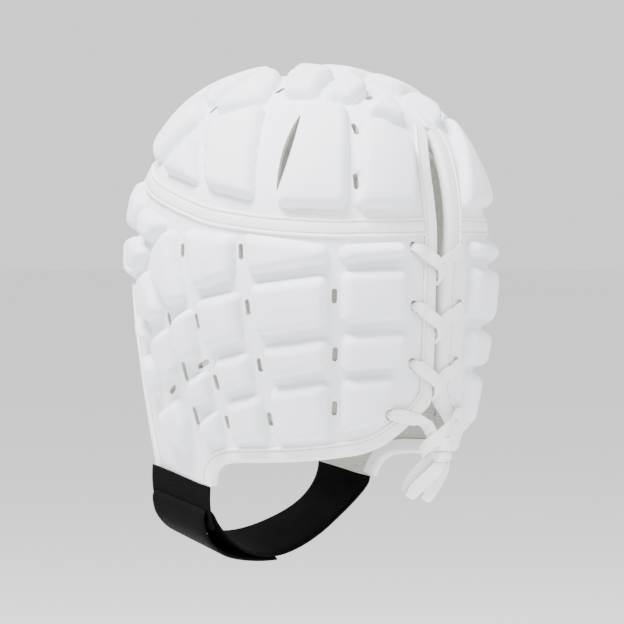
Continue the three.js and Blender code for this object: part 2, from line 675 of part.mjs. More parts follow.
// Binding of the face opening, from one cheek tab over the brow to the other
function makeFaceBinding() {
  const left = [...SIDE_COLUMNS.filter((b) => b >= TAB_FRONT), 180];
  const right = left.slice(0, -1).reverse().map((b) => 360 - b);
  const places = [...left, ...right].map((b) => [b, edgeLevel(b > 180 ? 360 - b : b), EDGE_LEG]);
  return band(bindingStations(places, -1));
}

// Tape over the seam, from one slit binding round the face to the other
function makeSeamTape() {
  const stations = [];
  const w = SEAM_TAPE_WIDTH / 2;
  const near = CLEAR + CHORD_ROOM;
  for (let i = 0; i <= SEAM_STEPS; i += 1) {
    const bearing = SEAM_START + (360 - 2 * SEAM_START) * i / SEAM_STEPS;
    const level = seamLevel(bearing > 180 ? bearing - 360 : bearing);
    const outward = facing(bearing, level);
    const ahead = form(bearing + 0.5, level).sub(form(bearing - 0.5, level)).normalize();
    const across = new THREE.Vector3().crossVectors(ahead, outward).normalize();
    const outline = [[near, -w], [near, w], [near + TAPE, w], [near + TAPE, -w]];
    stations.push({ place: form(bearing, level), outward, across, outline });
  }
  return band(stations);
}

// A flat lace along places on the head form: bearing, level, lift, width
function laceAlong(places) {
  const points = places.map(([b, l, lift]) => skin(b, l, lift));
  const stations = places.map(([b, l, , width], i) => {
    const before = points[Math.max(i - 1, 0)];
    const after = points[Math.min(i + 1, points.length - 1)];
    const run = after.clone().sub(before).normalize();
    const outward = facing(b, l);
    outward.addScaledVector(run, -outward.dot(run)).normalize();
    const across = new THREE.Vector3().crossVectors(run, outward).normalize();
    return { place: points[i], outward, across, outline: flatSection(width, LACE_THICK) };
  });
  return band(stations);
}

// One arm of a crossing: out of its eyelet, over the binding, down into the slit
function makeLaceArm(eyelet, side) {
  const { bearing, level } = eyelet;
  const over = side > 0 ? LACE_THICK + CLEAR + 0.2 : 0;
  const end = level + (side > 0 ? 0.84 : 0.64);
  const ride = CHORD_ROOM + 2 * CLEAR + TAPE + LACE_THICK / 2 + 0.4;
  const reach = side > 0 ? 1 : 0.8;
  return laceAlong([
    [side * bearing * 1.03, level - 0.01, -WALL + 0.2, 3.2],
    [side * bearing * 0.96, level + 0.02, ride - 0.7, 4.6],
    [side * bearing * 0.84, level + 0.07, ride, LACE_WIDTH],
    [side * bearing * 0.60, level + 0.17, ride, LACE_WIDTH],
    [side * bearing * 0.38, level + 0.27 * reach, ride + over * 0.5, LACE_WIDTH],
    [side * bearing * 0.14, level + 0.40 * reach, ride + over, LACE_WIDTH - 0.6],
    [side * bearing * 0.02, level + 0.54 * reach, ride + over - 0.3, LACE_WIDTH - 1.6],
    [side * bearing * 0.00, end - 0.10, 1.6 + over * 0.3, 3.0],
    [side * bearing * 0.00, end, -0.6, 2.6],
  ]);
}

// A flat lace through free places, each with its width, and the direction that its flat faces
function laceThrough(points, outward) {
  const stations = points.map(({ place, width }, i) => {
    const before = points[Math.max(i - 1, 0)].place;
    const after = points[Math.min(i + 1, points.length - 1)].place;
    const run = after.clone().sub(before).normalize();
    const out = outward(i).clone();
    out.addScaledVector(run, -out.dot(run)).normalize();
    const across = new THREE.Vector3().crossVectors(run, out).normalize();
    return { place, outward: out, across, outline: flatSection(width, LACE_THICK) };
  });
  return band(stations);
}

// Place measured from the knot's middle as the bow faces: to its right, down, and out
function fromKnot(right, down, out) {
  const notch = form(0, edgeLevel(0));
  const c = Math.cos(rad(BOW_TURN));
  const s = Math.sin(rad(BOW_TURN));
  const x = KNOT.aside + s * out - c * right;
  const y = notch.y + KNOT.back + c * out + s * right;
  return new THREE.Vector3(x, y, notch.z - KNOT.down - down);
}

// Lower tie: from the last eyelet over the bound notch to the knot
function makeTie(side) {
  const { bearing, level } = EYELETS[3];
  const seat = -KNOT.tall - CLEAR;
  const free = TIES[side > 0 ? 'left' : 'right'];
  const ride = CHORD_ROOM + 2 * CLEAR + TAPE + LACE_THICK / 2 + 0.4;
  const points = [
    { place: skin(side * bearing * 1.02, level - 0.01, -WALL + 0.2), width: 3.2 },
    { place: skin(side * bearing, level, -0.4), width: 3.4 },
    { place: skin(side * bearing * 0.94, level - 0.01, ride - 0.6), width: 4.6 },
    { place: skin(side * bearing * 0.78, level, ride + 0.4), width: LACE_WIDTH },
    { place: skin(side * bearing * 0.55, level + 0.10, ride + 1.6), width: LACE_WIDTH },
    { place: fromKnot(free.right, seat - 4.5, free.out), width: LACE_WIDTH },
    { place: fromKnot(free.seatRight, seat - 1.6, free.seatOut), width: TIE_END },
    { place: fromKnot(free.seatRight, seat, free.seatOut), width: TIE_END },
  ];
  const outward = new THREE.Vector3(side * 0.15, 1, 0);
  return laceThrough(points, () => outward);
}

// Knot: a squat eight-sided lump with a flat top and bottom
function makeKnot() {
  const sides = 8;
  const ring = (height, size) => Array.from({ length: sides }, (_, k) => {
    const a = 2 * Math.PI * (k + 0.5) / sides;
    return fromKnot(KNOT.wide * size * Math.cos(a), KNOT.tall * height, KNOT.deep * size * Math.sin(a));
  });
  const cap8 = cover(ring(1, 1).map((p) => [p.x, p.y]));
  return loft([ring(-1, KNOT.taper), ring(-0.5, 1), ring(0.5, 1), ring(1, KNOT.taper)], [cap8, cap8]);
}

// Bow loop: down its front strand, round the fold and back up its rear strand
function makeBowLoop(path) {
  const points = path.map(({ right, down, out, width }) => ({ place: fromKnot(right, down, out), width }));
  const fold = (path.length - 1) / 2;
  const front = fromKnot(0, 0, 1).sub(fromKnot(0, 0, 0));
  const tip = points[fold].place.clone().sub(points[0].place).normalize();
  const outward = (i) => (i === fold ? tip : front.clone().multiplyScalar(i < fold ? 1 : -1));
  return laceThrough(points, outward);
}

// What the strap is sewn to and measured from: the lower edges of the cheek tabs
function cheek() {
  const rear = form(TAB_REAR, edgeLevel(TAB_REAR));
  const front = form(TAB_FRONT, edgeLevel(TAB_FRONT));
  const middle = (TAB_REAR + TAB_FRONT) / 2;
  return {
    half: form(middle, edgeLevel(middle)).x,
    z: (rear.z + front.z) / 2,
    face: front.y + STRAP_SET_BACK,
  };
}

// Web along its table, wider by `rim` at both edges: each ring is a thin rectangle that follows the tilt
function makeWeb(table, thick, rim = 0) {
  const { half, z, face } = cheek();
  const places = table.map((row) => new THREE.Vector2(row.side * half, z - row.drop * STRAP_DROP));
  const rings = table.map((row, i) => {
    const before = places[Math.max(i - 1, 0)];
    const after = places[Math.min(i + 1, table.length - 1)];
    const run = after.clone().sub(before).normalize();
    const lift = row.tilt * STRAP_TILT / 2;
    const corner = (y, up, side) => new THREE.Vector3(
      places[i].x - side * run.y * thick / 2,
      y,
      places[i].y + side * run.x * thick / 2 + up,
    );
    const front = face - rim;
    const rear = face + STRAP_WIDTH + rim;
    return [corner(front, lift, 1), corner(rear, -lift, 1), corner(rear, -lift, -1), corner(front, lift, -1)];
  });
  const ends = cover([[-1, -1], [1, -1], [1, 1], [-1, 1]]);
  return loft(rings, [ends, ends]);
}

// Left web, with the slot that the strap turns through: the strap's own run, swelled for clearance
function makeLeftWeb() {
  const turnOver = STRAP.slice(SLOT_ROWS[0], SLOT_ROWS[1]);
  const passage = solid(makeWeb(turnOver, WEB + 2 * SLOT_ROOM, CLEAR));
  return solid(makeWeb(LEFT_WEB, WEB, SLOT_RIM)).subtract(passage);
}

const FABRIC = { colour: 0xe6e8ee, roughness: 0.8 };
const TWILL = { colour: 0xeceae4, roughness: 0.85 };
const BLACK = { colour: 0x0b0b0c, roughness: 0.9 };

const cap = new THREE.Group();
cap.name = 'rugby_scrum_cap';

function put(name, geometry, look) {
  const material = new THREE.MeshStandardMaterial({ color: look.colour, roughness: look.roughness });
  const part = new THREE.Mesh(geometry, material);
  part.name = name;
  cap.add(part);
}

put('crown', unsolid(makeCrown()), FABRIC);
put('side_panel', unsolid(makeSidePanel()), FABRIC);
put('seam_tape', makeSeamTape(), TWILL);
put('binding_left', makeSideBinding(1), TWILL);
put('binding_right', makeSideBinding(-1), TWILL);
put('binding_face', makeFaceBinding(), TWILL);
EYELETS.slice(0, 3).forEach((eyelet, i) => {
  put(`lace_left_${i + 1}`, makeLaceArm(eyelet, 1), TWILL);
  put(`lace_right_${i + 1}`, makeLaceArm(eyelet, -1), TWILL);
});
put('tie_left', makeTie(1), TWILL);
put('tie_right', makeTie(-1), TWILL);
put('bow_knot', makeKnot(), TWILL);
put('bow_loop_left', makeBowLoop(LEFT_LOOP), TWILL);
put('bow_loop_right', makeBowLoop(RIGHT_LOOP), TWILL);
put('chin_tab_left', unsolid(makeLeftWeb()), BLACK);
put('chin_strap', makeWeb(STRAP, WEB), BLACK);

export default cap;
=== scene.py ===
"""Rugby scrum cap: foam-padded crown and side panel, taped seam and edges, laced rear slit, chin strap.

Places and sizes are worked out in millimetres in the cap's own frame and become metres in the meshes.
The face looks along -Y, the lacing is at +Y, the wearer's left is +X, and the origin is the inside of
the crown's apex. A place on the cap is a bearing (0 back, 90 wearer's left, 180 face) and a level
(0 apex, 11 lower edge), as in the tables below.
"""

import math

import bpy
import numpy as np
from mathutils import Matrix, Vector


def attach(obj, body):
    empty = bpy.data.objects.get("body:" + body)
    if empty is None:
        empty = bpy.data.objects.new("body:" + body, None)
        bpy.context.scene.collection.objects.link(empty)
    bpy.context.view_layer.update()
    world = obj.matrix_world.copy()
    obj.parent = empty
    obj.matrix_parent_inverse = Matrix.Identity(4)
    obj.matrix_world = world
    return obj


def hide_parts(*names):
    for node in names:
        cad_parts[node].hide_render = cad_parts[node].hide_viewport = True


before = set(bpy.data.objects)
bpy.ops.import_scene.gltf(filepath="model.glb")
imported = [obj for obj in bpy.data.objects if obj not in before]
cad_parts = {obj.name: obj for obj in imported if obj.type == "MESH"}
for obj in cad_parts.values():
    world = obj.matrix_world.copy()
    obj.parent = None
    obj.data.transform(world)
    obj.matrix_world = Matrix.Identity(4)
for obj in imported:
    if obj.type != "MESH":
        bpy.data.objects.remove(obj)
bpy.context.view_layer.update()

MM = 0.001

# Head form, measured on the fabric between the pads
HALF_WIDTH = 88
BACK_REACH = 102
FRONT_REACH = 95
DEPTH = 208.5
WALL = 3.5

# Pads: rise, breadth of the rounded shoulder, radius of an outline's corners, how far the foot spreads
# past the drawn outline, and how much the top is crowned
PAD_RISE = 7
PAD_SHOULDER = 6.2
PAD_CORNER = 4.5
PAD_FOOT = 0.8
PAD_CROWN = 0.7

# Grid points nearer than this to a pad's foot or an opening's rim are moved onto it
FOOT_SNAP = 0.42
RIM_SNAP = 0.95
# Pads sink to the fabric over this breadth beside an opening or the slit's tape
SINK = 1.6

# Tapes, laces and strap
TAPE = 1.1
SEAM_TAPE_WIDTH = 10
# Bearings where the seam tape meets the left binding and, past the face, the right one
SEAM_START = 5.9
SEAM_END = 349.8
SLIT_LEG = 7.6
EDGE_LEG = 6.5
INNER_LEG = 5
LACE_WIDTH = 7.2
LACE_THICK = 1.5
# Height of a lace's middle over the fabric where it lies on a tape
LACE_RIDE = TAPE + LACE_THICK / 2 + 0.35
EYELET_RADIUS = 2.3
VENT_WIDTH = 2.9
WEB = 2.2
STRAP_WIDTH = 40
STRAP_SET_BACK = 5
STRAP_DROP = 50
STRAP_TILT = 10
SLOT_RIM = 2.5

# The crown's turn round the head in degrees, and the levels where it starts and ends
CROWN_TURN = -8
TURN_FROM = 4.0
TURN_TO = 5.6

# Columns: drop as a share of DEPTH, width, back and front as shares of the half width and the
# reaches, and the powers that round the plan's corners at the back and the front
HEAD = np.array([
    (0.000, 0.000, 0.000, 0.000, 2.30, 2.00),
    (0.010, 0.230, 0.240, 0.240, 2.30, 2.00),
    (0.040, 0.445, 0.485, 0.470, 2.32, 2.00),
    (0.095, 0.640, 0.695, 0.670, 2.35, 2.00),
    (0.180, 0.810, 0.850, 0.830, 2.35, 2.00),
    (0.285, 0.930, 0.945, 0.940, 2.35, 2.00),
    (0.400, 0.985, 0.990, 0.990, 2.35, 2.00),
    (0.520, 1.000, 1.000, 1.000, 2.35, 2.00),
    (0.640, 0.965, 0.995, 0.985, 2.28, 2.10),
    (0.760, 0.900, 0.980, 0.960, 2.15, 2.25),
    (0.880, 0.825, 0.960, 0.930, 2.05, 2.45),
    (1.000, 0.750, 0.935, 0.900, 2.00, 2.70),
    (1.120, 0.695, 0.910, 0.870, 2.00, 2.90),
])

# Columns: bearing, level of the seam between crown and side panel
SEAM = np.array([
    (0, 5.93), (37, 5.98), (58, 5.89), (80, 5.71), (102, 5.33), (118, 5.08), (135, 4.77), (155, 4.57),
    (180, 4.50),
])

# Columns: bearing, level of the lower edge from the notch at the lacing to the cheek tab's front corner
EAR_EDGE = np.array([
    (0, 9.62), (3.5, 9.74), (8, 9.97), (13, 10.25), (18, 10.50), (25, 10.68), (35, 10.78), (46, 10.85),
    (62, 10.89), (76, 10.91), (84, 10.96), (89, 11.04), (92.5, 11.16), (95, 11.34), (96.2, 11.56),
    (106, 11.50), (116, 11.40), (126, 11.29), (134, 11.18),
])

# Columns: bearing, level of the face opening's edge, from the cheek tab up and over the brow
FACE_EDGE = np.array([
    (134, 11.18), (134.5, 10.30), (135, 9.40), (135.5, 8.50), (137.5, 7.70), (141, 7.30), (149, 7.04),
    (162, 7.00), (180, 7.00),
])
TAB_REAR = 96.2
TAB_FRONT = 134
CHEEK_TOP = 8.50
CHEEK_BEARING = 135.5

# Columns: level, half width of the rear slit. A small gap stays open in the closed seam above it.
SLIT = np.array([
    (0.00, 0.0), (1.95, 0.0), (2.02, 0.9), (2.22, 0.9), (2.30, 0.0), (3.44, 0.0), (3.72, 3.6),
    (4.20, 6.2), (4.80, 7.3), (5.50, 7.2), (6.20, 6.2), (7.00, 4.5), (9.00, 3.8), (9.80, 3.9),
    (11.0, 3.9),
])
TAPE_TOP = 3.66
# Columns: level, bearing of the line that the slit and the closed seam above it run along
MIDLINE = np.array([
    (0.0, -8.0), (2.6, -9.0), (3.3, -10.2), (3.6, -9.4), (4.27, -5.8), (4.7, -4.2), (5.25, -3.2),
    (6.0, -2.4), (6.5, -1.3), (7.1, -0.2), (7.5, 0.0), (12.0, 0.0),
])
# Closed seam above the slit: a furrow between two low ridges that run RIDGE_AWAY from its middle
FURROW = 2.6
FURROW_BREADTH = 0.8
RIDGE = 0.5
RIDGE_BREADTH = 1.4
RIDGE_AWAY = 2.2
# Stitch rows: how far they run inside a tape's edge, and the length of a stitch with its gap
STITCH_ROW = 2.0
STITCH = 2.4
# Relief of a tape: depth and breadth of a stitched valley, height and breadth of the piping
VALLEY = 0.42
VALLEY_BREADTH = 0.38
PIPING = 0.6
PIPING_BREADTH = 0.5
# The fabric's own measure: millimetres to a radian round the head and to a level
CLOTH_ROUND = 90
CLOTH_DOWN = 22

# Pads of the left half: corners as bearing, level pairs. The crown's are given before its turn.
CROWN_PADS = {
    "nape": (31, 3.40, 21, 3.45, 12.5, 4.10, 9.5, 5.58, 29, 5.55),
    "rear_quarter": (49, 2.95, 34, 3.05, 32, 5.55, 53, 5.52),
    "side": (102, 3.50, 72, 2.98, 62, 5.37, 83.5, 5.10),
    "temple": (106, 3.85, 88.5, 5.05, 115, 4.72),
    "front_slant": (112, 3.35, 125, 4.55, 138, 4.30, 145, 4.05, 138, 2.95, 121, 2.90),
    "front": (153, 1.35, 143, 2.60, 150, 4.05, 175, 4.10, 168, 1.30),
    "top_side": (73, 1.55, 74, 2.85, 104, 3.22, 104, 2.10, 98, 0.90),
    "top_front": (113, 2.10, 113, 2.98, 138, 2.58, 150, 1.00, 112, 0.72),
    "top_middle": (47, 2.60, 66, 2.60, 69, 1.20, 105, 0.30, 12, 1.05),
    "top_rear": (43, 2.70, 30, 2.85, 14, 2.25, 8, 1.38),
    "slit_head": (27, 3.15, 11, 3.55, 7, 2.40, 15, 2.60),
}
SIDE_PADS = {
    "A1": (33.5, 6.35, 14, 6.28, 13.5, 6.60, 33.5, 6.71),
    "A2": (33.5, 6.90, 14, 6.83, 13, 7.88, 33.5, 7.98),
    "A3": (33, 8.22, 13.5, 8.15, 13, 8.88, 33, 8.95),
    "A4": (32.5, 9.15, 15, 9.08, 20, 10.05, 31.5, 10.27),
    "B1": (64.5, 6.10, 38, 6.36, 37.5, 6.68, 61.5, 6.94),
    "B2": (61.5, 7.17, 38, 6.96, 37.5, 8.00, 59.5, 8.22),
    "B3": (58.5, 8.47, 37, 8.27, 37, 8.92, 55.5, 9.15),
    "B4": (56.5, 9.38, 36.5, 9.18, 36, 10.40, 54.5, 10.48),
    "C1": (90.5, 6.03, 68, 6.15, 68, 7.00, 83.5, 7.29),
    "C2": (84, 7.51, 66.5, 7.32, 66, 8.30, 81.5, 8.56),
    "C3": (79, 8.76, 64, 8.60, 63, 9.23, 77, 9.48),
    "C4": (76, 9.66, 61, 9.50, 59, 10.42, 75, 10.54),
    "D1": (100, 6.05, 95.8, 6.08, 90, 7.45, 97.5, 7.68, 107, 7.05, 107, 6.50),
    "D2": (97, 7.90, 88, 7.68, 87, 8.68, 94.5, 8.88, 99.5, 8.50),
    "D3": (94.5, 9.20, 84.5, 9.02, 84, 9.60, 92, 9.80, 96.5, 9.62),
    "D4": (91.5, 10.05, 82.5, 9.87, 81, 10.42, 90, 10.55, 94.5, 10.40),
    "E1": (121, 5.55, 101, 5.87, 109, 6.33, 118, 6.15),
    "E2": (110.5, 6.85, 107, 7.25, 103, 7.75, 111, 8.05, 119, 7.85, 120.5, 7.20),
    "E3": (101.5, 8.12, 100.3, 9.03, 105, 9.27, 111, 9.05, 113, 8.55, 110, 8.28),
    "E4": (104, 9.62, 100, 10.22, 105.5, 10.80, 116, 10.62, 119, 9.98),
    "F0": (139, 5.10, 125, 5.32, 123.5, 5.60, 126, 6.00, 139, 6.02),
    "F1": (123, 6.20, 112, 6.50, 120, 6.95, 131, 6.85, 132, 6.20),
    "F2": (123, 7.66, 119.5, 7.98, 115, 8.26, 118, 8.44, 122.5, 8.34),
    "F3": (120, 8.66, 114.5, 8.95, 115.5, 9.45, 120, 9.68, 122.8, 9.40, 122.5, 8.86),
    "G0": (156, 4.92, 142.5, 5.02, 142.5, 6.04, 156, 6.02),
    "G1": (153, 6.20, 136, 6.22, 133.5, 7.08, 139.5, 7.00, 152, 6.66),
    "H0": (177, 4.88, 159, 4.90, 158.5, 6.00, 177, 6.00),
    "H1": (177, 6.14, 156, 6.15, 156, 6.62, 177, 6.62),
}

# Vents of the left half, cut through the channels: bearing, level, length, lean from upright in degrees
CROWN_VENTS = [
    (33, 3.62, 8, -6), (31, 4.94, 9, 0), (17.5, 2.50, 7, 60), (69, 2.10, 7, 25), (93, 4.46, 9, -2),
    (112, 2.95, 7, 10),
]
SIDE_VENTS = [
    (65.8, 6.47, 9, -3), (63.5, 7.64, 9, -5), (60.5, 8.87, 8, -6), (57.8, 10.02, 8, -7),
    (35.5, 7.39, 8, 0), (34.8, 8.62, 8, 0), (34.2, 9.77, 8, 0), (91.9, 6.46, 8, -4),
    (86.0, 7.96, 9, -6), (81.2, 9.26, 9, -8), (78.5, 10.12, 8, -10), (101.5, 7.92, 7, -4),
    (86.5, 8.88, 10, 66), (97.8, 9.06, 11, -4), (108, 9.46, 8, 60), (96.8, 10.02, 11, -5),
]
# Darts: bearing, upper and lower level, half width in the middle
DARTS = [(58.5, 3.15, 5.20, 2.3)]
# Eyelets, the same on both sides of the slit: bearing, level
EYELETS = [(10.3, 6.37), (10.0, 7.61), (9.8, 8.83), (16.3, 9.92)]

# Bow: where its knot hangs from the notch, and by how many degrees it faces to the wearer's left
KNOT_ASIDE = -1.5
KNOT_BACK = 1.2
KNOT_DOWN = 26.5
BOW_TURN = 45

# The laces' free ends, from the knot's middle as the bow faces: right, down, out, width.
# Each goes through the knot, down one side of its loop, round the fold and back up.
LEFT_END = [
    (-7.2, -14.4, 2.6, 7.4), (-4.0, -9.8, 3.2, 7.2), (-2.6, -5.0, 1.4, 5.8), (-0.6, 1.5, 1.2, 5.0),
    (1.0, 5.9, 1.9, 5.4), (0.8, 7.6, 2.0, 6.2), (-1.1, 10.7, 2.3, 7.0), (-6.0, 15.5, 2.5, 7.2),
    (-11.6, 20.9, 2.0, 7.2), (-15.2, 25.0, 0.0, 5.6), (-15.8, 20.6, -1.8, 7.2), (-12.8, 15.0, -2.0, 7.2),
    (-8.8, 10.0, -2.0, 7.0), (-5.6, 6.8, -1.8, 6.2), (-3.6, 4.4, -1.4, 5.2), (-1.6, 2.0, -1.0, 4.8),
]
RIGHT_END = [
    (9.6, -18.6, -7.4, 5.4), (7.6, -14.2, -2.0, 5.6), (4.6, -10.6, 2.4, 6.2), (0.8, -7.2, 5.0, 6.6),
    (-3.2, -4.0, 5.9, 6.8),
    (-6.8, -1.0, 4.2, 6.8), (-8.6, 1.4, 0.8, 6.4), (-6.6, 2.8, -2.8, 5.8), (-2.0, 3.6, -3.6, 5.0),
    (1.8, 4.8, -2.4, 5.0), (2.9, 6.4, -0.8, 5.6), (3.0, 8.4, -0.5, 6.4), (2.2, 11.2, -0.5, 7.0),
    (-0.4, 16.4, -0.6, 7.2), (-3.6, 22.0, -0.8, 7.2), (-6.4, 27.0, -2.2, 5.6), (-5.4, 22.0, -3.9, 7.2),
    (-2.2, 16.0, -4.1, 7.0), (1.0, 11.0, -3.9, 6.8), (2.2, 7.8, -3.4, 6.0), (2.0, 4.8, -4.4, 5.2),
]
# Wraps of the knot, in the same measure
KNOT_WRAPS = {
    "knot_front": [
        (-1.0, 1.0, -3.6, 5.0), (-4.6, -0.6, -0.6, 5.6), (-2.4, -2.2, 3.2, 6.4), (1.8, -2.9, 5.0, 7.0),
        (5.8, -2.7, 4.2, 6.8), (8.0, -2.0, 0.8, 6.2), (6.4, -0.6, -3.2, 5.6), (2.0, 1.0, -4.8, 5.0),
    ],
    "knot_collar": [
        (-0.4, 3.0, -4.2, 4.4), (-1.8, 3.4, 0.2, 5.0), (0.6, 3.6, 3.6, 5.4), (3.8, 3.6, 3.9, 5.4),
        (6.6, 3.1, 1.0, 5.0), (5.2, 2.6, -3.6, 4.4),
    ],
}

# Webs of the chin strap. Columns: side as a share of the tabs' half width, drop as a share of
# STRAP_DROP below the tabs' lower edges, tilt as a share of STRAP_TILT.
LEFT_WEB = np.array([
    (1.008, 0.000, 0.96), (1.012, 0.135, 0.96), (1.004, 0.255, 0.98), (0.981, 0.375, 1.00),
    (0.957, 0.455, 1.00),
])
STRAP = np.array([
    (-1.002, 0.000, 0.80), (-0.981, 0.115, 0.50), (-0.910, 0.235, 0.20), (-0.782, 0.365, 0.10),
    (-0.606, 0.495, 0.25), (-0.383, 0.625, 0.60), (-0.128, 0.731, 0.90), (0.128, 0.787, 1.10),
    (0.367, 0.771, 1.20), (0.574, 0.687, 1.20), (0.750, 0.555, 1.10), (0.870, 0.415, 1.02),
    (0.919, 0.327, 1.00), (0.961, 0.283, 0.98), (1.015, 0.275, 0.98), (1.042, 0.316, 0.98),
    (1.040, 0.400, 1.02), (1.002, 0.530, 1.10), (0.906, 0.650, 1.16), (0.750, 0.745, 1.20),
    (0.543, 0.800, 1.20), (0.319, 0.826, 1.18), (0.160, 0.832, 1.11),
])

# Grid of the panels: columns round half the head and rows down
CROWN_COLUMNS = 290
CROWN_ROWS = 122
SIDE_COLUMNS = 236
BROW_COLUMNS = 78
SIDE_ROWS = 146
BROW_ROWS = 85

# Camera: the photo's azimuth and elevation in degrees, its distance, its scale at the point it aims
# at, and that point, across to the right and up
CAMERA_AZIMUTH = 135
CAMERA_ELEVATION = 1.5
CAMERA_DISTANCE = 2500
CAMERA_SCALE = 1.83
AIM_RIGHT = 4.9
AIM_UP = -125.7
FRAME_PIXELS = 624
SENSOR = 36

# Stage: the floor's height and half breadth, the surroundings' strength, and the lights' azimuth,
# elevation, distance and size in metres, and power in watts
FLOOR = -420
FLOOR_REACH = 14000
SURROUNDINGS = 1.2
LIGHT_AIM = Vector((0, 0, -0.12))
LIGHTS = {"key": (92, 60, 1.5, 0.6, 84), "fill": (190, 28, 2.0, 1.4, 24)}

# Colours of the finishes, each from its darker to its lighter parts. The lining's greys are darkened with
# painted shade, and the stitch grey is painted shade.
KNIT_WHITES = (0.755, 0.768, 0.828), (0.815, 0.826, 0.88)
# Painted shade: the lining's own light grey-white is darkened to how it looks in shadow, on the inside
# and on the walls of the openings
LINING_AND_SHADE_GREYS = (0.46, 0.47, 0.42), (0.62, 0.63, 0.58)
TWILL_WHITES = (0.86, 0.865, 0.86), (0.93, 0.93, 0.925)
# Painted shade of the stitch rows: the grey of their sunken groove and needle holes
STITCH_SHADE_GREY = (0.50, 0.505, 0.50)
BRAID_WHITES = (0.80, 0.805, 0.79), (0.95, 0.95, 0.94)
WEBBING_BLACKS = (0.0004, 0.0004, 0.0005), (0.0028, 0.0028, 0.003)
FLOOR_WHITES = (0.90, 0.90, 0.90), (0.93, 0.93, 0.93)
# Places of a Mix node's sockets for colours
MIX_FACTOR = 0
MIX_LOW = 6
MIX_HIGH = 7
MIX_RESULT = 2


def unit(v):
    """Vectors divided by their lengths."""
    return v / np.maximum(np.linalg.norm(v, axis=-1, keepdims=True), 1e-9)


def dot(a, b):
    """Scalar products over the last axis."""
    return (a * b).sum(-1)


def lookup(table, at, blur=0.0):
    """A table's second column at places in its first, averaged over a window of `blur` each way."""
    offsets = np.linspace(-blur, blur, 7) if blur else np.zeros(1)
    return np.mean([np.interp(np.asarray(at) + o, table[:, 0], table[:, 1]) for o in offsets], axis=0)


def curve(p0, p1, p2, p3, u):
    """Catmull-Rom curve from p1 to p2 as u runs from 0 to 1: a cubic whose slopes at the two points are
    half the way between their neighbours."""
    bend = (2 * p0 - 5 * p1 + 4 * p2 - p3) * u**2
    twist = (3 * p1 - p0 - 3 * p2 + p3) * u**3
    return 0.5 * (2 * p1 + (p2 - p0) * u + bend + twist)


def section(level):
    """Rows of HEAD at levels, on a Catmull-Rom curve that is mirrored over the apex."""
    rows = np.vstack([HEAD[1] * (1, -1, -1, -1, 1, 1), HEAD, 2 * HEAD[-1] - HEAD[-2]])
    i = np.clip(np.floor(level).astype(int), 0, len(HEAD) - 2)
    return curve(rows[i], rows[i + 1], rows[i + 2], rows[i + 3], (level - i)[..., None])


def form(bearing, level):
    """Points of the fabric: in plan a rounded oval r = ((sin/width)^n + (cos/reach)^n)^(-1/n)."""
    bearing, level = np.broadcast_arrays(np.asarray(bearing, float), np.asarray(level, float))
    drop, width, back, front, back_power, front_power = np.moveaxis(section(level), -1, 0)
    s, c = np.sin(np.radians(bearing)), np.cos(np.radians(bearing))
    reach = np.where(c >= 0, back * BACK_REACH, front * FRONT_REACH)
    power = np.where(c >= 0, back_power, front_power)
    side = np.abs(s) / np.maximum(width * HALF_WIDTH, 1e-9)
    fore = np.abs(c) / np.maximum(reach, 1e-9)
    r = (side**power + fore**power) ** (-1 / power)
    return np.stack([r * s, r * c, WALL - drop * DEPTH], -1)


def facing(bearing, level):
    """Outward normals of the fabric: the way round crossed with the way down."""
    level = np.maximum(level, 0.05)
    around = form(np.add(bearing, 0.05), level) - form(np.subtract(bearing, 0.05), level)
    down = form(bearing, level + 0.01) - form(bearing, level - 0.01)
    return unit(np.cross(around, down))


def turn(level):
    """The crown's turn at levels, a smooth step between TURN_FROM and TURN_TO."""
    x = np.clip((TURN_TO - level) / (TURN_TO - TURN_FROM), 0, 1)
    return CROWN_TURN * x * x * (3 - 2 * x)


def seam_level(bearing):
    """Level of the seam at bearings of either side."""
    return lookup(SEAM, 180 - np.abs(180 - np.abs(bearing) % 360), 5)


def ear_level(bearing):
    """Level of the lower edge from the notch to the cheek tab, at bearings of either side."""
    return lookup(EAR_EDGE, np.abs(bearing), 0.7)


def cheek_bearing(level):
    """Bearing of the cheek's front edge at levels, from the upright part of FACE_EDGE."""
    return lookup(FACE_EDGE[:4][::-1, ::-1], level, 0.1)


def midline(level):
    """Bearing of the slit's middle."""
    return lookup(MIDLINE, level, 0.2)


def slit_angle(level):
    """Half the slit's width as a bearing."""
    reach = np.maximum(form(0, level)[..., 1], 1.0)
    return np.degrees(np.arctan2(lookup(SLIT, level, 0.05), reach))


def build(name, points, faces, finishes, replaces=(), uv=None, picks=None, bend=50):
    """A smooth mesh from points in millimetres and lists of corners, riding on root. Edges that turn by
    more than `bend` degrees stay sharp."""
    mesh = bpy.data.meshes.new(name)
    mesh.from_pydata((points * MM).tolist(), [], faces)
    mesh.polygons.foreach_set("use_smooth", np.ones(len(mesh.polygons), bool))
    for finish in finishes:
        mesh.materials.append(finish)
    if picks is not None:
        mesh.polygons.foreach_set("material_index", np.asarray(picks, np.int32))
    if uv is not None:
        corner = np.empty(len(mesh.loops), np.int32)
        mesh.loops.foreach_get("vertex_index", corner)
        mesh.uv_layers.new(name="cloth").data.foreach_set("uv", (uv[corner] * MM).ravel())
    mesh.set_sharp_from_angle(angle=math.radians(bend))
    mesh.update()
    piece = bpy.data.objects.new(name, mesh)
    bpy.context.scene.collection.objects.link(piece)
    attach(piece, "root")
    if replaces:
        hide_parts(*replaces)
    return piece


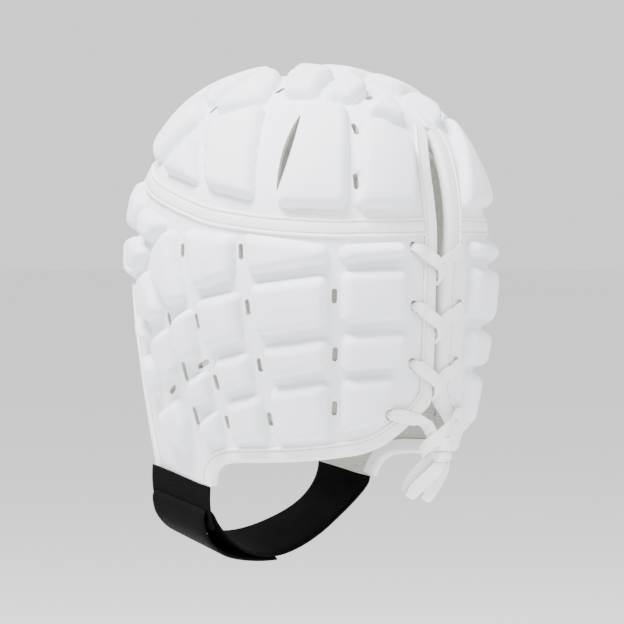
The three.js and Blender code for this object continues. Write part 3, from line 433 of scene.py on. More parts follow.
def pad_field(points, normals, bearings, levels):
    """Signed distance to a pad's outline, and its gradient. Each edge is a plane that holds the edge
    and the fabric's normal; within PAD_CORNER of two planes their distances combine as a radius."""
    start = form(bearings, levels)
    up = facing(bearings, levels)
    end = np.roll(start, -1, axis=0)
    outward = unit(np.cross(end - start, up + np.roll(up, -1, axis=0)))
    middle = start.mean(0)
    outward *= -np.sign(dot(middle - start, outward))[:, None]
    reach = np.linalg.norm(start - middle, axis=1).max() + 12
    near = (np.linalg.norm(points - middle, axis=1) < reach) & (normals @ unit(up.mean(0)) > 0.2)
    distance = np.full(len(points), 99.0)
    gradient = np.zeros_like(points)
    flat = dot(points[near][:, None] - start, outward)
    size = np.sqrt(((end - start) ** 2).sum(1)).min()
    r = min(PAD_CORNER, 0.45 * size)
    over = np.maximum(flat + r, 0)
    length = np.sqrt((over**2).sum(1))
    inside = flat.max(1)
    distance[near] = np.where(length > 0, length - r, inside)
    gradient[near] = unit(over @ outward)
    return distance, gradient


def pads_of(table, side, turned):
    """Each pad's corners as bearings and levels on one side of the head, with the crown's turn."""
    for corners in table.values():
        bearings = side * np.array(corners[0::2], float)
        levels = np.array(corners[1::2], float)
        yield (bearings + (turn(levels) if turned else 0)), levels


def pad_height(distance):
    """Height over a pad at a distance inside its foot: a shoulder PAD_SHOULDER broad that rises as a
    power of 1 - (1 - t)^2.3, then a top that is crowned by PAD_CROWN."""
    inside = PAD_FOOT - distance
    t = np.clip(inside / PAD_SHOULDER, 0, 1)
    crowned = PAD_CROWN * (1 - np.exp(-(np.maximum(inside - 3, 0) / 14) ** 2))
    return np.where(inside > 0, PAD_RISE * (1 - (1 - t) ** 2.3) ** 0.68 + crowned, 0.0)


def slot_frame(bearing, level, lean, side):
    """Middle of a slot, and its ways out, wide and long on the fabric."""
    middle, out = form(bearing, level), facing(bearing, level)
    down = unit(form(bearing, level + 0.02) - middle)
    around = np.cross(out, down)
    a = math.radians(lean * side)
    along = down * math.cos(a) - around * math.sin(a)
    return middle, out, np.cross(out, along), along


class Cut:
    """An opening through the fabric: its distance is below zero inside it."""

    def __init__(self, spot, wide, tall, leaf=False):
        self.middle, self.out, self.across, self.along = spot
        self.wide, self.tall, self.leaf = wide / 2, tall / 2, leaf

    def measure(self, points):
        """Signed distance and gradient. A vent is an oblong with round ends; a leaf's half width
        falls off as 1 - y^2 towards its tips."""
        offset = points - self.middle
        x, y = offset @ self.across, offset @ self.along
        if self.leaf:
            share = np.clip(y / self.tall, -1, 1)
            distance = np.abs(x) - self.wide * (1 - share**2)
            distance = np.where(np.abs(y) > self.tall, 9.0, distance)
            gradient = np.sign(x)[:, None] * self.across
        else:
            past = np.maximum(np.abs(y) - (self.tall - self.wide), 0) * np.sign(y)
            length = np.hypot(x, past)
            distance = length - self.wide
            away = x[:, None] * self.across + past[:, None] * self.along
            gradient = away / np.maximum(length, 1e-6)[:, None]
        distance = np.where(np.abs(offset @ self.out) > 9, 99.0, distance)
        return distance, gradient


def cuts_of(vents, side, turned):
    """The vents of one side, with the crown's turn."""
    for bearing, level, length, lean in vents:
        b = side * bearing + (float(turn(np.array(level))) if turned else 0)
        yield Cut(slot_frame(b, level, lean, side), VENT_WIDTH, length)


def dart_cut(row, side):
    """A dart's long leaf-shaped opening, between its upper and lower ends."""
    bearing, top, low, half = row
    levels = np.array([top, low])
    ends = form(side * bearing + turn(levels), levels)
    mid = (top + low) / 2
    out = facing(side * bearing + float(turn(np.array(mid))), mid)
    middle = form(side * bearing + float(turn(np.array(mid))), mid)
    along = unit(ends[1] - ends[0])
    out = unit(out - dot(out, along) * along)
    spot = (middle, out, np.cross(out, along), along)
    return Cut(spot, 2 * half, float(np.linalg.norm(ends[1] - ends[0])), leaf=True)


def snapped(points, fields, reach):
    """Points within `reach` of an outline, moved onto it along its gradient."""
    for measure in fields:
        distance, gradient = measure(points)
        close = np.abs(distance) < reach
        points = points - np.where(close, distance, 0)[:, None] * gradient
    return points


def panel(name, bearing, level, quads, pads, cuts, side, node, ridge=None):
    """A padded panel: the grid is snapped to the pads' feet and the openings' rims, lifted by the pads,
    which sink beside an opening and the slit's tape as the root of the distance over SINK, given a lining
    WALL below, and closed along every free edge."""
    points, normals = form(bearing, level), facing(bearing, level)

    def foot_of(b, l):
        """The distance to one pad's foot, as a function of points."""
        def measure(p):
            distance, gradient = pad_field(p, normals, b, l)
            return distance - PAD_FOOT, gradient
        return measure

    points = snapped(points, [foot_of(b, l) for b, l in pads], FOOT_SNAP)
    points = snapped(points, [cut.measure for cut in cuts], RIM_SNAP)
    lift = np.zeros(len(points))
    for b, l in pads:
        lift = np.maximum(lift, pad_height(pad_field(points, normals, b, l)[0]))
    for cut in cuts:
        lift *= np.clip((cut.measure(points)[0] - 0.1) / SINK, 0, 1) ** 0.5
    beside = np.abs((bearing - midline(level) + 180) % 360 - 180) - slit_angle(level)
    beside = np.radians(beside) * np.hypot(points[:, 0], points[:, 1])
    clear = np.clip((beside - SLIT_LEG - 0.4) / SINK, 0, 1) ** 0.5
    lift *= np.where(level > TAPE_TOP, clear, 1)
    if ridge is not None:
        lift = lift + ridge(points, bearing, level)
    outer = points + normals * lift[:, None]
    inner = points - normals * WALL
    centres = points[quads].mean(1)
    cut_away = np.zeros(len(quads), bool)
    for cut in cuts:
        cut_away |= cut.measure(centres)[0] < -0.1
    quads = quads[~cut_away]
    if side < 0:
        quads = quads[:, ::-1]
    count = len(points)
    edges = np.stack([quads, np.roll(quads, -1, axis=1)], -1).reshape(-1, 2)
    key = edges.min(1) * count + edges.max(1)
    _, where, times = np.unique(key, return_inverse=True, return_counts=True)
    free = edges[times[where] == 1]
    rims = np.stack([free[:, 1], free[:, 0], free[:, 0] + count, free[:, 1] + count], 1)
    faces = np.vstack([quads, quads[:, ::-1] + count, rims])
    # The inner faces and the rims of the openings take the lining, whose greys carry painted shade
    picks = np.r_[np.zeros(len(quads)), np.ones(len(quads) + len(rims))]
    used, faces = np.unique(faces, return_inverse=True)
    faces = faces.reshape(-1, 4)
    everything = np.vstack([outer, inner])[used]
    cloth = np.stack([np.radians(bearing) * CLOTH_ROUND, level * CLOTH_DOWN], 1)
    uv = np.vstack([cloth, cloth])[used]
    finishes = [FABRIC, LINING_AND_SHADE]
    piece = build(name, everything, faces.tolist(), finishes, [node], uv, picks, 62)
    return piece


def grid_quads(columns, rows):
    """Quads of a grid whose points are stored column by column."""
    i, j = np.meshgrid(np.arange(columns - 1), np.arange(rows - 1), indexing="ij")
    a = (i * rows + j).ravel()
    return np.stack([a, a + rows, a + rows + 1, a + 1], 1)


def make_crown(side):
    """Half the crown: columns from the slit's edge to the middle of the front, rows from the apex to
    the seam. Bearing and level settle each other in three rounds."""
    u, v = np.meshgrid(np.linspace(0, 1, CROWN_COLUMNS), np.linspace(0.004, 1, CROWN_ROWS), indexing="ij")
    level = v * seam_level(180 * u)
    for _ in range(3):
        gap = slit_angle(level)
        bearing = midline(level) * (1 - u) + side * (gap + (180 - gap) * u) + CROWN_TURN * u
        level = v * seam_level(bearing)
    bearing, level = bearing.ravel(), level.ravel()
    pads = list(pads_of(CROWN_PADS, side, True))
    cuts = list(cuts_of(CROWN_VENTS, side, True)) + [dart_cut(row, side) for row in DARTS]

    def closed_seam(points, bearing, level):
        """Lift beside the closed seam: a ridge less a furrow, each a bell of the distance to it."""
        middle = form(midline(level), level)
        away = np.linalg.norm(points - middle, axis=1)
        behind = np.cos(np.radians(bearing)) > 0
        ridge = RIDGE * np.exp(-(((away - RIDGE_AWAY) / RIDGE_BREADTH) ** 2))
        fold = ridge - FURROW * np.exp(-((away / FURROW_BREADTH) ** 2))
        return np.where(behind & (level < 3.6), fold * np.clip((level - 0.3) / 0.8, 0, 1), 0)

    name = "crown_left" if side > 0 else "crown_right"
    quads = grid_quads(CROWN_COLUMNS, CROWN_ROWS)
    return panel(name, bearing, level, quads, pads, cuts, side, "crown", closed_seam)


def make_side_panel(side):
    """Half the side panel in one grid: columns from the slit to the cheek's front edge, with rows from
    the seam to the lower edge, and then the brow's columns, with only the rows above the face opening."""
    rows = np.linspace(0, 1, SIDE_ROWS + 1)
    u, v = np.meshgrid(np.linspace(0, 1, SIDE_COLUMNS), rows, indexing="ij")
    level = seam_level(135 * u) + (ear_level(135 * u) - seam_level(135 * u)) * v
    for _ in range(5):
        gap = slit_angle(level) + side * midline(level)
        bearing = gap + (cheek_bearing(level) - gap) * u
        level = seam_level(bearing) + (ear_level(bearing) - seam_level(bearing)) * v
    brow = np.linspace(CHEEK_BEARING, 180, BROW_COLUMNS + 1)[1:]
    w, s = np.meshgrid(brow, np.arange(SIDE_ROWS + 1) / BROW_ROWS, indexing="ij")
    edge = lookup(FACE_EDGE, w, 0.8)
    brow_level = seam_level(w) + (edge - seam_level(w)) * np.minimum(s, 1)
    bearing = side * np.vstack([bearing, w])
    level = np.vstack([level, brow_level])
    quads = grid_quads(SIDE_COLUMNS + BROW_COLUMNS, SIDE_ROWS + 1)
    column, row = np.divmod(quads[:, 0], SIDE_ROWS + 1)
    quads = quads[(column < SIDE_COLUMNS - 1) | (row < BROW_ROWS)]
    pads = list(pads_of(SIDE_PADS, side, False))
    cuts = list(cuts_of(SIDE_VENTS, side, False))
    wide, tall = 2 * EYELET_RADIUS, 2.5 * EYELET_RADIUS
    cuts += [Cut(slot_frame(side * b, l, 0, side), wide, tall) for b, l in EYELETS]
    name = "side_left" if side > 0 else "side_right"
    return panel(name, bearing.ravel(), level.ravel(), quads, pads, cuts, side, "side_panel")


def resampled(rows, spacing):
    """A Catmull-Rom curve through rows, at even steps along its first three columns."""
    rows = np.asarray(rows, float)
    padded = np.vstack([2 * rows[0] - rows[1], rows, 2 * rows[-1] - rows[-2]])
    u = np.linspace(0, 1, 24, endpoint=False)[None, :, None]
    fine = curve(*(padded[k:len(padded) - 3 + k, None] for k in range(4)), u)
    fine = np.vstack([fine.reshape(-1, rows.shape[1]), rows[-1]])
    length = np.r_[0, np.cumsum(np.linalg.norm(np.diff(fine[:, :3], axis=0), axis=1))]
    at = np.linspace(0, length[-1], max(int(round(length[-1] / spacing)), 2) + 1)
    return np.stack([np.interp(at, length, column) for column in fine.T], 1)


def tube(points, uv, hand=1):
    """Rings of points joined into a tube on the given hand, quad by quad from each ring to the next, with
    one face over each end ring."""
    n, m = points.shape[:2]
    i, k = np.meshgrid(np.arange(n - 1), np.arange(m), indexing="ij")
    a, b = (i * m + k).ravel(), (i * m + (k + 1) % m).ravel()
    quads = np.stack([a, b, b + m, a + m], 1)[:, ::hand]
    ends = [np.arange(m)[::-hand], (np.arange(m) + (n - 1) * m)[::hand]]
    return points.reshape(-1, 3), quads.tolist() + [e.tolist() for e in ends], uv.reshape(-1, 2)


def carried(places, outward, outline, hand=1):
    """A tube of outlines carried along places. Outline columns: out, across, and the cloth's own
    measure; across is square to the way along and to outward, on the given hand."""
    run = unit(np.gradient(places, axis=0))
    outward = unit(outward - dot(outward, run)[:, None] * run)
    across = np.cross(run, outward) * hand
    points = places[:, None] + outward[:, None] * outline[..., 0:1] + across[:, None] * outline[..., 1:2]
    n, m = points.shape[:2]
    along = np.r_[0, np.cumsum(np.linalg.norm(np.diff(places, axis=0), axis=1))]
    uv = np.stack([np.broadcast_to(along[:, None], (n, m)), np.broadcast_to(outline[..., 2], (n, m))], -1)
    return tube(points, uv, hand)


def tape_profile(c, stitch_rows, piping):
    """Height over a tape's breadth: flat, less a bell-shaped valley along each stitch row, plus a
    bell-shaped cord along each line of piping."""
    valleys = sum(VALLEY * np.exp(-(((c - row) / VALLEY_BREADTH) ** 2)) for row in stitch_rows)
    cord = sum(PIPING * np.exp(-(((c - row) / PIPING_BREADTH) ** 2)) for row in piping)
    return TAPE - valleys + cord


def make_seam_tape():
    """Tape over the seam from one slit binding round the face to the other, its lower edge piped."""
    bearing = np.linspace(SEAM_START, SEAM_END, 520)
    level = seam_level(bearing)
    w = SEAM_TAPE_WIDTH / 2
    c = np.linspace(-w, w, 29)
    top = tape_profile(c, (3.0, -3.0), (-4.1,)) + 0.3 * np.maximum(1 - (c / 2.6) ** 2, 0)
    top *= np.minimum(1, ((w - np.abs(c)) / 0.5) ** 0.5 * 0.8 + 0.2)
    outline = np.vstack([np.stack([top, c, w - np.abs(c)], 1), [(-0.2, w, 0), (-0.2, -w, 0)]])[None]
    points, faces, uv = carried(form(bearing, level), facing(bearing, level), outline)
    return build("seam_tape", points, faces, [TWILL], ["seam_tape"], uv)


def fold_outline(leg):
    """Closed section of a tape folded over the wall's edge, for each station's outer leg. The outer
    leg is piped near its free edge and stitched beside the piping."""
    share = np.linspace(0, 1, 22)
    c = -leg[:, None] * (1 - share)
    free = leg[:, None] + c
    top = tape_profile(free, (STITCH_ROW,), (0.75,))
    top *= np.minimum(1, (free / 0.5) ** 0.5 * 0.8 + 0.2)
    a = np.radians(np.linspace(90, -90, 11))[1:-1]
    r = WALL / 2 + TAPE
    bulge = np.stack([-WALL / 2 + r * np.sin(a), r * 0.85 * np.cos(a)], 1)
    under = -WALL - TAPE
    inside = np.array([(under, 0), (under, -INNER_LEG), (-WALL + 0.2, -INNER_LEG), (-0.3, -1)])
    rest = np.vstack([bulge, inside])
    n = len(leg)
    outer = np.stack([top, c], -1)
    whole = np.concatenate([outer, np.broadcast_to(rest, (n, *rest.shape))], 1)
    last = np.stack([np.full(n, -0.3), -leg], -1)[:, None]
    whole = np.concatenate([whole, last], 1)
    measure = np.concatenate([free, leg[:, None] + np.linspace(0.5, 14, len(rest) + 1)[None]], 1)
    return np.concatenate([whole, measure[..., None]], -1)


def folded_tape(name, knots, hand, node):
    """Binding along knots of bearing, level and outer leg."""
    knots = np.asarray(knots, float)
    rows = resampled(np.hstack([form(knots[:, 0], knots[:, 1]), knots]), 1.3)
    bearing, level, leg = rows[:, 3], rows[:, 4], rows[:, 5]
    points, faces, uv = carried(form(bearing, level), facing(bearing, level), fold_outline(leg), hand)
    return build(name, points, faces, [TWILL], [node], uv)


def make_side_binding(side):
    """Down the slit's edge, round the notch and along the ear line to the cheek tab's rear corner."""
    slit_levels = np.linspace(TAPE_TOP, 9.45, 24)
    slit_bearings = midline(slit_levels) + side * np.maximum(slit_angle(slit_levels), 0.45)
    knots = [(b, l, SLIT_LEG) for b, l in zip(slit_bearings, slit_levels)]
    knots.append((side * 2.6, 9.66, 9))
    ears = np.r_[4.2, 7, 10, 14, 19, 25, 32, 40, 50, 60, 70, 78, 84, 88, 91, 93.5, 95.3, TAB_REAR]
    knots += [(side * b, float(ear_level(b)), max(EDGE_LEG, 8.5 - 0.5 * (b - 4))) for b in ears]
    name = "binding_left" if side > 0 else "binding_right"
    return folded_tape(name, knots, -side, name)


def make_face_binding():
    """Up the left cheek's front edge, over the brow and down the right cheek's."""
    cheek_levels = np.linspace(11.18, CHEEK_TOP, 9)
    cheek = [(float(cheek_bearing(l)), l) for l in cheek_levels]
    brow_bearings = (136.3, 137.5, 139, 141, 145, 149, 155, 162, 171)
    brow = [(b, float(lookup(FACE_EDGE, b, 0.8))) for b in brow_bearings]
    left = [(b, l, EDGE_LEG) for b, l in cheek + brow]
    knots = left + [(180, 7.0, EDGE_LEG)] + [(360 - b, l, leg) for b, l, leg in reversed(left)]
    return folded_tape("binding_face", knots, -1, "binding_face")


def lace_section(width):
    """Section of a flat braid for each width: a rounded oblong."""
    t = np.linspace(0, 2 * np.pi, 18, endpoint=False)
    round_ = np.sign(np.cos(t)) * np.abs(np.cos(t)) ** 0.55
    flat = np.sign(np.sin(t)) * np.abs(np.sin(t)) ** 0.75
    out = LACE_THICK / 2 * round_ * np.ones((len(width), 1))
    across = width[:, None] / 2 * flat
    return np.stack([out, across, across + np.where(round_ > 0, 0, 20)], -1)


def flat_lace(name, rows, node):
    """A flat braid through rows of x, y, z, width and facing."""
    rows = resampled(rows, 0.7)
    points, faces, uv = carried(rows[:, :3], rows[:, 4:7], lace_section(rows[:, 3]))
    return build(name, points, faces, [BRAID], node, uv), rows


def on_form(places):
    """Rows for a flat lace from places of bearing, level, lift and width."""
    places = np.asarray(places, float)
    out = facing(places[:, 0], places[:, 1])
    points = form(places[:, 0], places[:, 1]) + out * places[:, 2:3]
    return np.hstack([points, places[:, 3:4], out])


def make_lace_arm(index, side):
    """One arm of a crossing: out of its eyelet, over the binding, and down into the slit. The left arm
    lies over the right one."""
    bearing, level = EYELETS[index]
    over = LACE_THICK if side > 0 else 0
    drop = 1.0 if side > 0 else 0.8
    places = [
        (bearing * 1.02, level - 0.02, -WALL, 3.4),
        (bearing * 1.01, level, -0.6, 4.2),
        (bearing * 0.93, level + 0.03, LACE_RIDE - 0.2, 5.4),
        (bearing * 0.78, level + 0.09, LACE_RIDE + 0.5, LACE_WIDTH),
        (bearing * 0.56, level + 0.19, LACE_RIDE + 0.3, LACE_WIDTH),
        (bearing * 0.34, level + 0.29 * drop, LACE_RIDE + 0.2 + over * 0.7, LACE_WIDTH),
        (bearing * 0.13, level + 0.41 * drop, LACE_RIDE + over, LACE_WIDTH - 0.6),
        (bearing * 0.02, level + 0.54 * drop, LACE_RIDE - 0.6 + over * 0.6, LACE_WIDTH - 1.8),
        (0, level + 0.68 * drop, 1.0, 3.2),
        (0, level + 0.80 * drop, -1.6, 2.8),
    ]
    rows = on_form([(side * b, l, lift, width) for b, l, lift, width in places])
    label = "left" if side > 0 else "right"
    name = f"lace_{label}_{index + 1}"
    return flat_lace(f"arm_{label}_{index + 1}", rows, [name])[0]


def from_knot(rows):
    """Points measured from the knot's middle as the bow faces: right, down, out."""
    rows = np.asarray(rows, float)
    notch = form(0, EAR_EDGE[0, 1])
    a = math.radians(BOW_TURN)
    right, down, out = rows[:, 0], rows[:, 1], rows[:, 2]
    x = KNOT_ASIDE + math.sin(a) * out - math.cos(a) * right
    y = notch[1] + KNOT_BACK + math.cos(a) * out + math.sin(a) * right
    return np.stack([x, y, notch[2] - KNOT_DOWN - down], 1)


def bow_rows(rows):
    """Rows for a flat lace in the bow: its flat faces out on the way to the fold and back behind it,
    and turns through the fold."""
    rows = np.asarray(rows, float)
    points = from_knot(rows)
    front = unit(from_knot([(0, 0, 1)]) - from_knot([(0, 0, 0)]))
    fold = int(np.argmax(rows[:, 1]))
    steps = np.arange(len(rows)) - fold
    tip = unit(points[fold] - points[fold - 3])
    turned = np.clip(steps, -1, 1)[:, None]
    out = front * -turned + tip * (turned == 0)
    axis = from_knot(np.stack([0 * rows[:, 0], rows[:, 1], 0 * rows[:, 0] - 1.0], 1))
    wraps = (rows[:, 1] < 5)[:, None] & (steps < 0)[:, None]
    out = np.where(wraps, unit(unit(points - axis) * 1.6 + front), out)
    return np.hstack([points, rows[:, 3:4], out])


def make_lace_end(side):
    """A lace's free end, one length: out of the lowest eyelet, over the notch's binding, through the
    knot, round its loop and back into the knot."""
    bearing, level = EYELETS[3]
    start = on_form([
        (side * bearing * 1.02, level - 0.02, -1.2, 3.6),
        (side * bearing * 0.98, level, 0.8, 5.0),
        (side * bearing * 0.90, level, LACE_RIDE, LACE_WIDTH),
        (side * bearing * 0.76, level + 0.02, LACE_RIDE + 1.0, LACE_WIDTH),
    ])
    rows = np.vstack([start, bow_rows(LEFT_END if side > 0 else RIGHT_END)])
    label = "left" if side > 0 else "right"
    piece, fine = flat_lace(f"lace_end_{label}", rows, [f"tie_{label}", f"bow_loop_{label}"])
    return piece


def make_knot():
    """The knot: two flat wraps of the lace, each bowed outwards from the knot's axis."""
    pieces = []
    for name, wrap in KNOT_WRAPS.items():
        wrap = np.asarray(wrap, float)
        points = from_knot(wrap)
        axis = from_knot(np.stack([np.full(len(wrap), 0.8), wrap[:, 1], np.full(len(wrap), -0.6)], 1))
        rows = np.hstack([points, wrap[:, 3:4], unit(points - axis)])
        pieces.append(flat_lace(name, rows, ["bow_knot"])[0])
    return pieces


def cheek():
    """Half width, level and face edge that the strap is measured from, at the tabs' lower edges."""
    rear, front = form(TAB_REAR, ear_level(TAB_REAR)), form(TAB_FRONT, ear_level(TAB_FRONT))
    middle = (TAB_REAR + TAB_FRONT) / 2
    half = form(middle, ear_level(middle))[0]
    return half, (rear[2] + front[2]) / 2, front[1] + STRAP_SET_BACK


def web_grid(table, low, high):
    """A web's closed skin between two lines `low` and `high` behind the strap's front edge: rings run
    round its section, a thin oblong with rounded edges, and its rear edge hangs lower by the tilt."""
    half, z, face = cheek()
    side, drop, tilt = table.T
    rows = np.stack([side * half, z - drop * STRAP_DROP, 0 * side, tilt * STRAP_TILT], 1)
    rows = resampled(rows, 1.2)
    run = unit(np.gradient(rows[:, :2], axis=0))
    normal = np.stack([-run[:, 1], run[:, 0]], 1)
    t = np.linspace(0, 1, 25)
    across = low + (high - low) * t
    thin = np.minimum(1, (np.minimum(t, 1 - t) * (high - low) + 0.15) ** 0.5)
    ring_y = face + np.r_[across, across[::-1]]
    ring_n = np.r_[thin, -thin[::-1]] * WEB / 2
    ring_t = (ring_y - face) / STRAP_WIDTH
    x = rows[:, 0:1] + normal[:, 0:1] * ring_n
    zz = rows[:, 1:2] + normal[:, 1:2] * ring_n + rows[:, 3:4] * (0.5 - ring_t)
    points = np.stack([x, np.broadcast_to(ring_y, x.shape), zz], -1)
    along = np.r_[0, np.cumsum(np.linalg.norm(np.diff(rows[:, :2], axis=0), axis=1))]
    uv = np.stack([np.broadcast_to(along[:, None], x.shape), np.broadcast_to(ring_y, x.shape)], -1)
    return tube(points, uv, -1)


def make_strap():
    """The strap from the right cheek under the chin, through the left web's slot and back."""
    points, faces, uv = web_grid(STRAP, 0, STRAP_WIDTH)
    build("chin_strap_web", points, faces, [WEBBING], ["chin_strap"], uv)


def make_left_web():
    """The left web: a stretch above the strap's slot, one below it, and a rim at each end of the slot."""
    rear = STRAP_WIDTH + SLOT_RIM
    stretches = {
        "chin_tab_upper": (LEFT_WEB[:3], -SLOT_RIM, rear),
        "chin_tab_lower": (LEFT_WEB[3:], -SLOT_RIM, rear),
        "slot_rim_front": (LEFT_WEB[2:4], -SLOT_RIM, -0.3),
        "slot_rim_rear": (LEFT_WEB[2:4], STRAP_WIDTH + 0.3, rear),
    }
    for name, (table, low, high) in stretches.items():
        points, faces, uv = web_grid(table, low, high)
        build(name, points, faces, [WEBBING], ["chin_tab_left"], uv)


class Wire:
    """A value in a finish's tree: operators on it add Math nodes."""

    def __init__(self, finish, socket):
        self.finish, self.socket = finish, socket

    def maths(self, operation, *others):
        """A Math node on this value and others."""
        return self.finish.add("ShaderNodeMath", (self, *others), operation=operation)

    def __add__(self, other):
        return self.maths("ADD", other)

    __radd__ = __add__

    def __mul__(self, other):
        return self.maths("MULTIPLY", other)

    __rmul__ = __mul__

    def __sub__(self, other):
        return self.maths("SUBTRACT", other)

    def __rsub__(self, other):
        return self * -1 + other

    def __truediv__(self, other):
        return self.maths("DIVIDE", other)

    def __abs__(self):
        return self.maths("ABSOLUTE")

    def wave(self):
        """Its sine."""
        return self.maths("SINE")

    def part(self):
        """What stands after its decimal point."""
        return self.maths("FRACT")

    def step(self, low, high):
        """0 below low, 1 above high, smooth between."""
        values = (self, low, high, 0, 1)
        return self.finish.add("ShaderNodeMapRange", values, interpolation_type="SMOOTHSTEP")


class Finish:
    """One material. Every node comes from add(), which sets the settings first and then the inputs."""

    def __init__(self, name, **constants):
        self.material = bpy.data.materials.new(name)
        self.material.use_nodes = True
        self.tree = self.material.node_tree
        self.shader = next(n for n in self.tree.nodes if n.type == "BSDF_PRINCIPLED")
        for key, value in constants.items():
            self.shader.inputs[key.replace("_", " ")].default_value = value
        self.object = self.add("ShaderNodeTexCoord", (), output="Object")
        place = self.add("ShaderNodeUVMap", (), output="UV", uv_map="cloth")
        self.along = self.add("ShaderNodeSeparateXYZ", (place,), output="X") * 1000
        self.across = self.add("ShaderNodeSeparateXYZ", (place,), output="Y") * 1000

    def add(self, kind, inputs=(), output=0, **settings):
        """A node of a kind: its settings, then a value or a wire for each of its inputs."""
        node = self.tree.nodes.new(kind)
        for key, value in settings.items():
            setattr(node, key, value)
        for slot, value in (inputs.items() if isinstance(inputs, dict) else enumerate(inputs)):
            if isinstance(value, Wire):
                self.tree.links.new(value.socket, node.inputs[slot])
            else:
                node.inputs[slot].default_value = value
        return Wire(self, node.outputs[output])

    def noise(self, size, detail=2.0, rough=0.5):
        """Noise with features about `size` millimetres across, from 0 to 1."""
        values = {"Vector": self.object, "Scale": 1 / (size * MM), "Detail": detail, "Roughness": rough}
        return self.add("ShaderNodeTexNoise", values, output=0)

    def colours(self, factor, low, high):
        """A colour between two by a factor: low at 0 and high at 1, each of them plain or wired."""
        low, high = (c if isinstance(c, Wire) else (*c, 1) for c in (low, high))
        values = {MIX_FACTOR: factor, MIX_LOW: low, MIX_HIGH: high}
        return self.add("ShaderNodeMix", values, MIX_RESULT, data_type="RGBA")

    def feed(self, key, wire):
        """The shader's input of that name follows a wire."""
        self.tree.links.new(wire.socket, self.shader.inputs[key])

    def relief(self, height, depth):
        """Bump of `depth` millimetres for a height from 0 to 1."""
        values = {"Strength": 1.0, "Distance": depth * MM, "Height": height}
        self.feed("Normal", self.add("ShaderNodeBump", values, output="Normal"))


def ripple(wire, pitch):
    """A wave from 0 to 1 with a pitch in millimetres."""
    return (wire * (2 * math.pi / pitch)).wave() * 0.5 + 0.5


def fabric_finish():
    """Stretch knit bonded on foam: cool white, matt, with faint wales and a soft uneven pull."""
    f = Finish("white_stretch_knit", Specular_IOR_Level=0.25, Sheen_Weight=0.12, Sheen_Roughness=0.6)
    cloudy, grain = f.noise(28, 2), f.noise(1.1, 3, 0.6)
    f.feed("Base Color", f.colours(cloudy.step(0.3, 0.7) * 0.7 + grain * 0.3, *KNIT_WHITES))
    f.feed("Roughness", grain * 0.16 + 0.66)
    knit = ripple(f.along, 0.9) * ripple(f.across, 0.7)
    f.relief(knit * 0.25 + grain * 0.35 + f.noise(9, 2) * 0.9, 0.16)
    return f.material


def lining_and_shade_finish():
    """Lining and cut foam: a grey knit, darker in its mesh. Its greys hold painted shade: the inside and
    the openings' walls are coloured as they look in shadow.
    """
    f = Finish("grey_lining_knit_and_painted_shade", Specular_IOR_Level=0.2)
    mesh = ripple(f.along, 1.6) * ripple(f.across, 1.6)
    f.feed("Base Color", f.colours(mesh * 0.6 + f.noise(6, 3) * 0.4, *LINING_AND_SHADE_GREYS))
    f.feed("Roughness", f.noise(2, 2) * 0.1 + 0.82)
    f.relief(mesh, 0.25)
    return f.material


def twill_finish():
    """Cotton twill tape: a warmer white with fine diagonal ribs, and stitch rows STITCH_ROW inside the
    edge whose threads sink into a line painted in shade grey, darkest at the needle holes."""
    f = Finish("white_twill_tape", Specular_IOR_Level=0.2, Sheen_Weight=0.1)
    ribs = ripple(f.along + f.across, 0.9)
    threads = ripple(f.along - f.across, 0.55)
    mottled = f.noise(14, 2)
    line = 1 - abs(f.across - STITCH_ROW).step(0.15, 0.5)
    stretch = abs((f.along / STITCH).part() - 0.5)
    holes = stretch.step(0.30, 0.44)
    plain = f.colours(ribs * 0.45 + mottled * 0.55, *TWILL_WHITES)
    # Painted shade: the stitch row is greyed a quarter of the way along and fully at its needle holes,
    # where the relief sinks
    f.feed("Base Color", f.colours(line * (holes * 0.75 + 0.25), plain, STITCH_SHADE_GREY))
    f.feed("Roughness", ribs * 0.1 + 0.78)
    f.relief(ribs * 0.6 + threads * 0.25 + f.noise(5, 2) * 0.6 - line * holes * 1.5, 0.2)
    return f.material


def braid_finish():
    """Flat cotton braid: chevron ribs that meet along its middle, and a soft sheen."""
    f = Finish("white_flat_braid", Specular_IOR_Level=0.25, Sheen_Weight=0.15)
    chevron = ripple(f.along + abs(f.across) * 1.1, 1.9)
    plait = ripple(f.across, 1.6)
    shade = chevron * 0.4 + plait * 0.4 + f.noise(7, 2) * 0.2
    f.feed("Base Color", f.colours(shade, *BRAID_WHITES))
    f.feed("Roughness", chevron * 0.12 + 0.72)
    f.relief(chevron * 0.45 + plait * 0.55, 0.34)
    return f.material


def webbing_finish():
    """Black soft webbing: close ribs across, faint grey fuzz."""
    f = Finish("black_webbing", Specular_IOR_Level=0.06)
    ribs, fuzz = ripple(f.along, 1.3), f.noise(0.9, 3, 0.7)
    f.feed("Base Color", f.colours(ribs * 0.4 + fuzz * 0.6, *WEBBING_BLACKS))
    f.feed("Roughness", fuzz * 0.2 + 0.7)
    f.relief(ribs * 0.5 + ripple(f.across, 1.1) * 0.3 + fuzz * 0.4, 0.2)
    return f.material


def stage_finish():
    """Pale matt floor."""
    f = Finish("pale_floor", Roughness=0.9)
    f.feed("Base Color", f.colours(f.noise(900, 2), *FLOOR_WHITES))
    return f.material


def towards(azimuth, elevation):
    """The way from the cap to a viewer or a light: azimuth 0 is the face side, 90 the wearer's left."""
    a, e = math.radians(azimuth), math.radians(elevation)
    return Vector((math.sin(a) * math.cos(e), -math.cos(a) * math.cos(e), math.sin(e)))


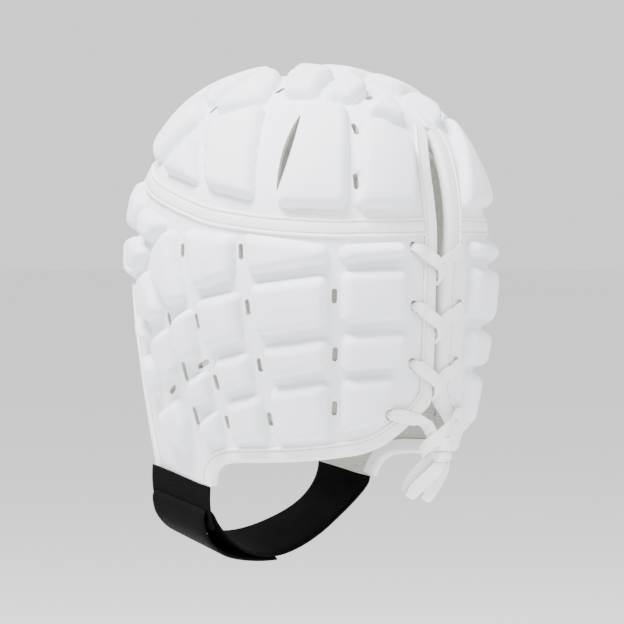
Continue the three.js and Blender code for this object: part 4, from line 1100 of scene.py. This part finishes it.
def make_camera():
    """The photo's view: its distance and scale give the lens."""
    back = towards(CAMERA_AZIMUTH, CAMERA_ELEVATION)
    a = math.radians(CAMERA_AZIMUTH)
    right = Vector((math.cos(a), math.sin(a), 0))
    aim = (right * AIM_RIGHT + Vector((0, 0, AIM_UP))) * MM
    data = bpy.data.cameras.new("photo_view")
    data.sensor_width = SENSOR
    data.lens = SENSOR * CAMERA_SCALE * CAMERA_DISTANCE / FRAME_PIXELS
    data.clip_end = 100
    camera = bpy.data.objects.new("photo_view", data)
    camera.location = aim + back * CAMERA_DISTANCE * MM
    camera.rotation_mode = "QUATERNION"
    camera.rotation_quaternion = (-back).to_track_quat("-Z", "Y")
    bpy.context.scene.collection.objects.link(camera)
    bpy.context.scene.camera = camera


def area_light(name, azimuth, elevation, distance, size, power):
    """A square soft light aimed at the cap's middle."""
    back = towards(azimuth, elevation)
    data = bpy.data.lights.new(name, "AREA")
    data.size, data.energy = size, power
    light = bpy.data.objects.new(name, data)
    light.location = LIGHT_AIM + back * distance
    light.rotation_mode = "QUATERNION"
    light.rotation_quaternion = (-back).to_track_quat("-Z", "Y")
    bpy.context.scene.collection.objects.link(light)


def make_stage():
    """Pale floor, white surroundings and soft lights."""
    s = FLOOR_REACH
    floor = bpy.data.meshes.new("floor")
    corners = [(-s, -s, FLOOR), (s, -s, FLOOR), (s, s, FLOOR), (-s, s, FLOOR)]
    floor.from_pydata([tuple(c * MM for c in corner) for corner in corners], [], [(0, 1, 2, 3)])
    floor.materials.append(stage_finish())
    plane = bpy.data.objects.new("floor", floor)
    bpy.context.scene.collection.objects.link(plane)
    world = bpy.data.worlds.new("studio")
    world.use_nodes = True
    sky = world.node_tree.nodes["Background"]
    sky.inputs["Color"].default_value = (1, 1, 1, 1)
    sky.inputs["Strength"].default_value = SURROUNDINGS
    bpy.context.scene.world = world
    for name, settings in LIGHTS.items():
        area_light(name, *settings)


make_camera()
FABRIC = fabric_finish()
LINING_AND_SHADE = lining_and_shade_finish()
TWILL = twill_finish()
BRAID = braid_finish()
WEBBING = webbing_finish()

for side, knot in zip((1, -1), make_knot()):
    make_lace_end(side)
for side in (1, -1):
    make_crown(side)
    make_side_panel(side)
    make_side_binding(side)
    for index in range(3):
        make_lace_arm(index, side)
make_face_binding()
make_seam_tape()
make_strap()
make_left_web()
make_stage()
